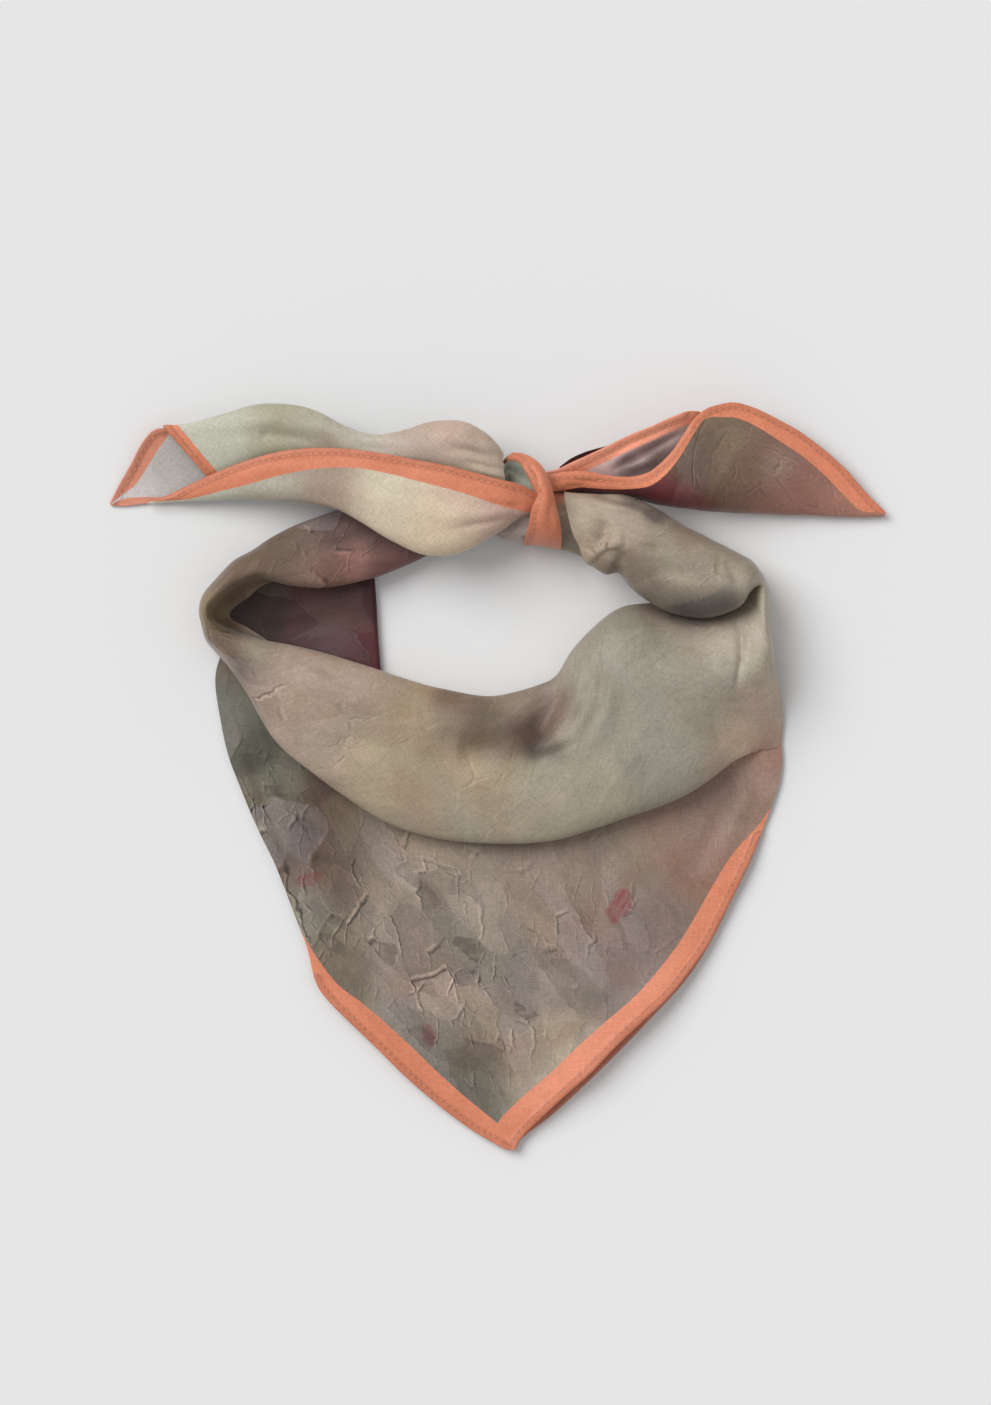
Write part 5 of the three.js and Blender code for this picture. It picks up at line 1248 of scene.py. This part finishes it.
# ---- floor ----
floor_graph = Graph("floor_paper")
place = floor_graph.node("ShaderNodeTexCoord", out="Object")
fine = floor_graph.noise(place, 700.0, 3, 0.6)
shade = floor_graph.add(floor_graph.times(fine, 0.012), 0.8)
floor_graph.node(
    "ShaderNodeOutputMaterial",
    {"Surface": floor_graph.node("ShaderNodeBsdfPrincipled", {"Base Color": floor_graph.grey(shade), "Roughness": 0.9, "Specular IOR Level": 0.1}, out="BSDF")},
    out=None,
)
floor = make_mesh("floor", [(-3000, -3000, 0), (3000, -3000, 0), (3000, 3000, 0), (-3000, 3000, 0)], [(0, 1, 2, 3)], {}, floor_graph.material)

# ---- neck loop: one cloth from under the left end, round the left turn, the collar, the right turn, to the knot ----
LOOP = joined(LEFT_BAND, COLLAR)
LOOP = {k: np.concatenate([LOOP[k][:-1], RIGHT_BAND[k]]) for k in LOOP}
s, u_line = even_rows(LOOP, 520, "in", "out")
fine, high = roll(sections(LOOP, s))
want = spaced(along(fine)[:, -1], 78)
points, high = resample(fine, want, high)
x, y = points[..., 0], points[..., 1]
u, v = np.broadcast_to(u_line[:, None], x.shape), want
lift = high * ridges(x, y, LOOP_FOLDS)
lift += high * 0.35 * noise(u, v, 17, 1) + 0.12 * noise(u, v, 7, 2)
lift += crumple(u, v, 9, 0.08, 3, angle=0.35, stretch=2.8) + crumple(u, v, 4.2, 0.02, 4, angle=-0.2, stretch=2.2)
upper_fold = ledge(x, y, [(29, 102.4), (34, 100.9), (39, 98.8), (43.5, 97.2), (47.5, 96.1), (52, 94.2), (56, 92.2), (60.5, 89.6)], 3.8, 7, soft=1.1)
lift += np.maximum(high, 0.25) * ledge(x, y, [(33.5, 74.5), (36, 79.6), (39.5, 82), (43.8, 81.4)], -2.2, 3.2)  # the flap lies over the curled puff
lift += high * ledge(x, y, [(83, 58.6), (86.4, 53), (87, 46), (85.4, 38), (84.4, 30)], 0.9, 2.6, soft=0.35)  # crease under the right turn
lift *= 1 - sections(LOOP, s)["fade"] * np.clip((v - v[:, -1:] + 7) / 7, 0, 1)  # flush where it runs out on the corner
toward_knot = np.clip((s[:, None] - (len(LOOP["inX"]) - 1 - 2.6)) / 2.6, 0, 1) ** 1.5
points = points + normals(points) * np.sign(normals(points)[..., 2].mean()) * lift[..., None]
points[..., 2] += upper_fold  # second fold at the upper edge
points[..., 0] -= 2.6 * toward_knot * np.sin(math.pi * np.clip(v / v[:, -1:], 0, 1))  # the flap's edge is bowed
thick = CLOTH + 0.5 * np.exp(-(((u[:, :1].max() - u) / 0.7) ** 2))
far = np.full(x.shape, FAR)
loop = cloth_piece("loop_roll", points, thick, u, v, tone_at(x, y, LOOP_TONES), -far, far, ground_silk, mark=marked(x, y, LOOP_MARKS))
finish_piece(loop, ["left_band", "collar", "right_band"])
print("loop", loop.name, u_line[-1], want[:, -1].mean())

# ---- hanging corner ----
s = np.linspace(0, len(CORNER["leftX"]) - 1, 3000)
left = np.stack([column(CORNER["leftX"], s), column(CORNER["leftY"], s)], -1)
right = np.stack([column(CORNER["rightX"], s), column(CORNER["rightY"], s)], -1)
step = 0.5 * (np.linalg.norm(np.diff(left, axis=0), axis=1) + np.linalg.norm(np.diff(right, axis=0), axis=1))
length = np.concatenate([[0], np.cumsum(step)])
s = np.interp(np.linspace(0, length[-1], 250), length, s)
c = sections(CORNER, s)
width = np.hypot(c["rightX"] - c["leftX"], c["rightY"] - c["leftY"])
v = spaced(width[:, 0], 150, 12, 12, span=5.0)
t = v / width
swell = np.sin(math.pi * t)
x = c["leftX"] + (c["rightX"] - c["leftX"]) * t
y = c["leftY"] + (c["rightY"] - c["leftY"]) * t - c["dip"] * swell
inside = np.clip(np.minimum(v, width - v) / 6, 0, 1)
z = FRONT_LAYER_Z + 0.5 * c["crown"] * swell
# its edges stand off the surface, the right one more, in slow waves
loose = np.clip((s[:, None] - 5) / 3, 0, 1)
wave = (0.75 + 0.5 * noise(y, 0 * y, 22, 25)) * np.clip(width / 60, 0.25, 1)
z = z + loose * (4.4 * wave * np.exp(-(((width - v) / 13) ** 2)) + 1.4 * wave * np.exp(-((v / 8) ** 2)))
z = z + (0.35 + 0.65 * inside) * ridges(x, y, CORNER_FOLDS)
z = z + inside * (0.5 * noise(x, y, 26, 21) + 0.12 * noise(x, y, 9, 22)) + crumple(x, y, 10, 0.1, 23, angle=-0.9, stretch=2.8)
z = z + crumple(x, y, 4.4, 0.025, 24, angle=0.6, stretch=2.0)
z = z + loose * pucker(s[:, None] * 9, np.minimum(v, width - v), 26)
z = np.maximum(z, 1.05)
points = np.stack([x, y, z], -1)
left_line = points[s >= 9.9][:, 0]
right_line = points[s >= 5.5][:, -1]
hem = np.minimum(distance(points, left_line), distance(points, right_line))
border = np.maximum(c["innerL"] - v, c["innerR"] - (width - v)) + 0 * x
border = np.where(np.maximum(c["innerL"], c["innerR"]) < 0.4, -FAR, border)
thick = CLOTH + hem_profile(hem)
corner = cloth_piece("corner_front", points, thick, x * 0.7071 + y * 0.7071, y * 0.7071 - x * 0.7071, tone_at(x, y, CORNER_TONES), border, hem, corner_silk, mark=marked(x, y, CORNER_MARKS))
lines = [line_at(points[s >= 9.9], distance(points, left_line)[s >= 9.9]), line_at(points[s >= 5.8], distance(points, right_line)[s >= 5.8], from_end=True)]
corner_stitches = stitches("corner_front_stitches", lines, edge_thread)
finish_piece(corner, ["corner_top_layer", "corner_left_edge", "corner_right_edge"], [corner_stitches])

# under layer of the hanging corner
s = np.interp(np.linspace(0, 1, 170), np.linspace(0, 1, len(BACK_OUTLINE["leftX"])), np.arange(len(BACK_OUTLINE["leftX"])))
c = sections(BACK_OUTLINE, s)
width = c["rightX"] - c["leftX"]
v = spaced(width[:, 0], 90, 12, 12, span=5.0)
x, y = c["leftX"] + v, c["leftY"] + (c["rightY"] - c["leftY"]) * v / width
points = np.stack([x, y, np.full(x.shape, 0.42)], -1)
left_line, right_line = points[s >= 5][:, 0], points[s >= 2.5][:, -1]
hem = np.minimum(distance(points, left_line), distance(points, right_line))
points[..., 2] += 0.1 * noise(x, y, 12, 31)
points[..., 2] = np.maximum(points[..., 2], 0.3 + 0.5 * hem_profile(hem))
under = cloth_piece("corner_back", points, CLOTH * 0.8 + 0.6 * hem_profile(hem), x, y, tone_at(x, y, CORNER_TONES), 10.5 - hem, hem, ground_silk, face_up=False)
finish_piece(under, ["corner_under_layer"])

# ---- inner fold in the pocket ----
s = np.linspace(0, len(INNER_FOLD["leftX"]) - 1, 90)
c = sections(INNER_FOLD, s)
t = np.linspace(0, 1, 70)[None, :]
x = c["leftX"] + (c["rightX"] - c["leftX"]) * t
y = c["leftY"] + (c["rightY"] - c["leftY"]) * t
z = c["zLeft"] + (c["zRight"] - c["zLeft"]) * t + c["sag"] * np.sin(math.pi * t)
z = z + np.sin(math.pi * t) * (0.5 * noise(x, y, 12, 41) + crumple(x, y, 7, 0.35, 42, angle=0.3, stretch=2.2))
radius = (c["zRight"] - 0.9) / 2
a = np.linspace(0, math.pi, 17)[None, 1:]
turn_x = c["rightX"] + radius * np.sin(a)
turn_z = c["zRight"] - radius * (1 - np.cos(a))
back = np.linspace(0, 5, 6)[None, 1:]
x = np.concatenate([x, turn_x, c["rightX"] - back], 1)
y = np.concatenate([y, np.broadcast_to(c["rightY"], turn_x.shape), np.broadcast_to(c["rightY"], (len(s), 5))], 1)
z = np.concatenate([z, turn_z, np.broadcast_to(c["zRight"] - 2 * radius, (len(s), 5))], 1)
points = np.stack([x, y, z], -1)
far = np.full(x.shape, FAR)
pocket = cloth_piece("pocket_fold", points, np.full(x.shape, CLOTH), x, y, tone_at(x, y, POCKET_TONES), -far, far, dark_silk, mark=0.28)
finish_piece(pocket, ["inner_fold"])


# ---- the two ends ----


def leaf(name, rows, count, across, folds, tones, material, hem_first, seed, flat_at=0.0, start_border=0.0, turn=0.4, marks=None):
    """A folded-over leaf of an end. hem_first: its hem is its in edge. start_border: width of a printed edge across its start."""
    s, u_line = even_rows(rows, count, "in", "out")
    fine, high = roll(sections(rows, s), inner_wall=False)
    want = spaced(along(fine)[:, -1], across, 12 if hem_first else 0)
    points, high = resample(fine, want, high)
    x, y = points[..., 0], points[..., 1]
    u, v = np.broadcast_to(u_line[:, None], x.shape), want
    loose = np.clip(v / 5, 0, 1) if hem_first else np.ones_like(v)
    lift = np.maximum(high, 0.3 if hem_first else 0.0) * ridges(x, y, folds)
    lift = lift + loose * (0.3 * high * noise(u, v, 13, seed) + 0.1 * noise(u, v, 6, seed + 1))
    lift = lift + crumple(u, v, 8, 0.06, seed + 2, angle=turn, stretch=3.0) + crumple(u, v, 3.8, 0.018, seed + 3, angle=-turn, stretch=2.2)
    if hem_first:
        lift = lift + pucker(u, v, seed + 5)
    n = normals(points)
    points = points + n * np.sign(n[..., 2].mean()) * lift[..., None]
    if hem_first:
        hem = distance(points, points[:, 0])
        border = column(rows["inner"], s)[:, None] - v
    else:
        hem = distance(points, points[0])
        border = start_border - hem
    thick = CLOTH + hem_profile(hem)
    mark = 0.0 if marks is None else marked(x, y, marks)
    piece = cloth_piece(name, points, thick, u + flat_at, v, tone_at(x, y, tones), border, hem, material, mark=mark)
    print(name, round(u_line[-1], 1), round(float(want[:, -1].mean()), 1))
    return piece, points, hem


def plain(name, rows, count, across, folds, tones, material, seed, face_up, hem_rows):
    """A plain layer of an end, hemmed along its top line over the first hem_rows rows."""
    s, u_line = even_rows(rows, count, "top", "bot")
    c = sections(rows, s)
    fine = flat_sheet(c)
    want = spaced(along(fine)[:, -1], across, 12)
    points = resample(fine, want)
    x, y = points[..., 0], points[..., 1]
    u, v = np.broadcast_to(u_line[:, None], x.shape), want
    ease = np.clip(v / 5, 0, 1)
    lift = ease * (ridges(x, y, folds) if folds is not None else 0)
    lift = lift + ease * (0.2 * noise(u, v, 12, seed) + crumple(u, v, 7, 0.05, seed + 1, angle=0.2, stretch=2.8)) + pucker(u, v, seed + 5)
    points[..., 2] += lift
    points[..., 2] = np.maximum(points[..., 2], 0.5)
    line = points[s <= hem_rows][:, 0]
    hem = distance(points, line)
    low = c["innerBot"] - (want[:, -1:] - v)
    border = np.maximum(np.where(c["innerTop"] < 0.4, -FAR, c["innerTop"] - v), np.where(c["innerBot"] < 0.3, -FAR, low))
    piece = cloth_piece(name, points, CLOTH + hem_profile(hem), u, v, tone_at(x, y, tones), border, hem, material, face_up=face_up)
    print(name, round(u_line[-1], 1), round(float(want[:, -1].mean()), 1))
    return piece, points, hem, s


# left end
back, points, hem, s = plain("left_end_back", LEFT_TAIL_UNDER, 260, 64, None, REVERSE_TONES, reverse_silk, 51, False, 4.4)
back_stitches = stitches("left_end_back_stitches", [line_at(points[s <= 4.2], hem[s <= 4.2])], edge_thread)
finish_piece(back, ["left_tail_under_layer"], [back_stitches])

upper, points, hem = leaf("left_end_upper_leaf", LEFT_TAIL_UPPER, 250, 64, LEFT_UPPER_FOLDS, LEFT_UPPER_TONES, pale_silk, False, 61, start_border=4.5)
k = np.argmin(np.abs(hem[:, 20] - STITCH_IN))
n = normals(points)
n = n * np.sign(n[..., 2].mean())
upper_stitches = stitches("left_end_upper_stitches", [(points[k, :-6], n[k, :-6])], edge_thread)
finish_piece(upper, ["left_tail_upper_leaf"], [upper_stitches])

lower, points, hem = leaf("left_end_lower_leaf", LEFT_TAIL_LOWER, 330, 70, LEFT_LOWER_FOLDS, LEFT_LOWER_TONES, pale_silk, True, 71, flat_at=150)
lower_stitches = stitches("left_end_lower_stitches", [line_at(points, hem)], edge_thread)
finish_piece(lower, ["left_tail_lower_leaf", "left_tail_front_edge"], [lower_stitches])

# right end
back, points, hem, s = plain("right_end_back", RIGHT_TAIL_BACK, 220, 60, RIGHT_BACK_FOLDS, RIGHT_BACK_TONES, right_reverse_silk, 81, False, 7.5)
right_back_stitches = stitches("right_end_back_stitches", [line_at(points[s <= 7.2], hem[s <= 7.2])], edge_thread)
finish_piece(back, ["right_tail_under_layer", "right_tail_under_edge"], [right_back_stitches])

front, points, hem = leaf("right_end_front", RIGHT_TAIL_FRONT, 330, 80, RIGHT_FRONT_FOLDS, RIGHT_FRONT_TONES, dark_silk, True, 91, marks=RIGHT_MARKS)
right_front_stitches = stitches("right_end_front_stitches", [line_at(points, hem)], edge_thread)
finish_piece(front, ["right_tail_top_layer", "right_tail_top_edge"], [right_front_stitches])

s, u_line = even_rows(RIGHT_TAIL_REAR, 50, "top", "bot")
fine = flat_sheet(sections(RIGHT_TAIL_REAR, s))
want = spaced(along(fine)[:, -1], 12)
points = resample(fine, want)
far = np.full(points.shape[:2], FAR)
rear = cloth_piece("right_end_rear_fold", points, np.full(far.shape, CLOTH), np.broadcast_to(u_line[:, None], far.shape), want, tone_at(points[..., 0], points[..., 1], POCKET_TONES), -far, far, dark_silk)
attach(rear, "root")
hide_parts("right_tail_rear_fold")

# ---- knot ----
s = np.linspace(0, len(KNOT_WRAP["leftX"]) - 1, 150)
c = sections(KNOT_WRAP, s)
t = np.linspace(0, 1, 56)[None, :]
x = c["leftX"] + (c["rightX"] - c["leftX"]) * t
y = c["leftY"] + (c["rightY"] - c["leftY"]) * t
z = c["z"] + c["dome"] * np.sin(math.pi * t) - 0.9 * c["dome"] * t**3  # its right side goes down round the knot
points = np.stack([x, y, z], -1)
u, v = along(points.transpose(1, 0, 2)).T, along(points)
lift = 0.2 * noise(u, v, 6, 101) + crumple(u, v, 5, 0.08, 102, angle=0.1, stretch=3.0) + pucker(u, v, 105)
lift = lift + ridges(x, y, KNOT_FOLDS)
n = normals(points)
points = points + n * np.sign(n[..., 2].mean()) * lift[..., None]
hem = distance(points, points[:, 0])
wrap = cloth_piece("knot_wrap_cloth", points, CLOTH + hem_profile(hem), u, v, tone_at(x, y, LOOP_TONES), np.full(x.shape, 9.0), hem, edge_silk)
wrap_stitches = stitches("knot_wrap_stitches", [line_at(points, hem)], edge_thread)
finish_piece(wrap, ["knot_wrap"], [wrap_stitches])

# cloth gathered inside the knot: a lobed lump with pleats, and the neck beside it
s = np.linspace(0, len(KNOT_CORE["X"]) - 1, 90)
c = sections(KNOT_CORE, s)
a = np.linspace(0, 2 * math.pi, 121)[None, :-1]
pleat = 1 + 0.05 * np.cos(5 * a) + 0.035 * np.cos(13 * a + 1.2 * np.sin(s[:, None]))
x = c["X"] + 0 * a
y = c["Y"] + c["ry"] * pleat * np.cos(a)
z = c["z"] + c["rz"] * pleat * np.sin(a)
rings = len(s)
vertices = np.stack([x, y, z], -1).reshape(-1, 3)
k = np.arange(rings * 120).reshape(rings, 120)
nxt = np.roll(k, -1, axis=1)
faces = np.stack([k[:-1], nxt[:-1], nxt[1:], k[1:]], -1).reshape(-1, 4).tolist()
faces += [k[0][::-1].tolist(), k[-1].tolist()]
n = len(vertices)
core = make_mesh(
    "knot_gathers",
    vertices,
    faces,
    {
        "flat": np.stack([vertices[:, 0], np.broadcast_to(9 * a, (rings, 120)).ravel(), 0 * vertices[:, 0]], -1),
        "tone": tone_at(vertices[:, 0], vertices[:, 1], CORE_TONES),
        "border": np.full(n, -FAR),
        "hem": np.full(n, FAR),
        "side": np.zeros(n),
    },
    ground_silk,
)
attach(core, "root")
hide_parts("knot_core")

s, u_line = even_rows(RIGHT_BAND_NECK, 70, "in", "out")
fine, high = roll(sections(RIGHT_BAND_NECK, s))
want = spaced(along(fine)[:, -1], 80)
points, high = resample(fine, want, high)
u, v = np.broadcast_to(u_line[:, None], high.shape), want
lift = 0.5 * high * np.cos(v * 0.75 + 0.4 * noise(u, v, 6, 111)) + 0.15 * noise(u, v, 5, 112)
n = normals(points)
points = points + n * np.sign(n[..., 2].mean()) * lift[..., None]
far = np.full(high.shape, FAR)
neck = cloth_piece("right_neck_gathers", points, np.full(far.shape, CLOTH), u, v, tone_at(points[..., 0], points[..., 1], CORE_TONES), -far, far, ground_silk)
finish_piece(neck, ["right_band_neck"])

# ---- light and camera ----
world = bpy.data.worlds.new("studio")
bpy.context.scene.world = world
world.use_nodes = True
world.node_tree.nodes["Background"].inputs["Color"].default_value = (1.0, 1.0, 1.0, 1.0)
world.node_tree.nodes["Background"].inputs["Strength"].default_value = 0.44


def sun(name, direction, angle, strength):
    light = bpy.data.lights.new(name, "SUN")
    light.angle = math.radians(angle)
    light.energy = strength
    item = bpy.data.objects.new(name, light)
    bpy.context.scene.collection.objects.link(item)
    item.rotation_mode = "QUATERNION"
    item.rotation_quaternion = Vector(direction).to_track_quat("-Z", "Y")
    return item


sun("key", (0.76, -0.6, -1.0), 42, 2.2)
sun("fill", (-0.5, 0.1, -1.0), 60, 0.15)

lens_distance = 3.0
camera = bpy.data.objects.new("camera", bpy.data.cameras.new("camera"))
bpy.context.scene.collection.objects.link(camera)
camera.data.sensor_width = 36
camera.data.lens = 36 * lens_distance / 0.5058
camera.location = (-0.00079, 0.02668, lens_distance)
camera.data.clip_end = 20
bpy.context.scene.camera = camera
bpy.context.scene.view_settings.view_transform = "Standard"
bpy.context.scene.view_settings.look = "None"
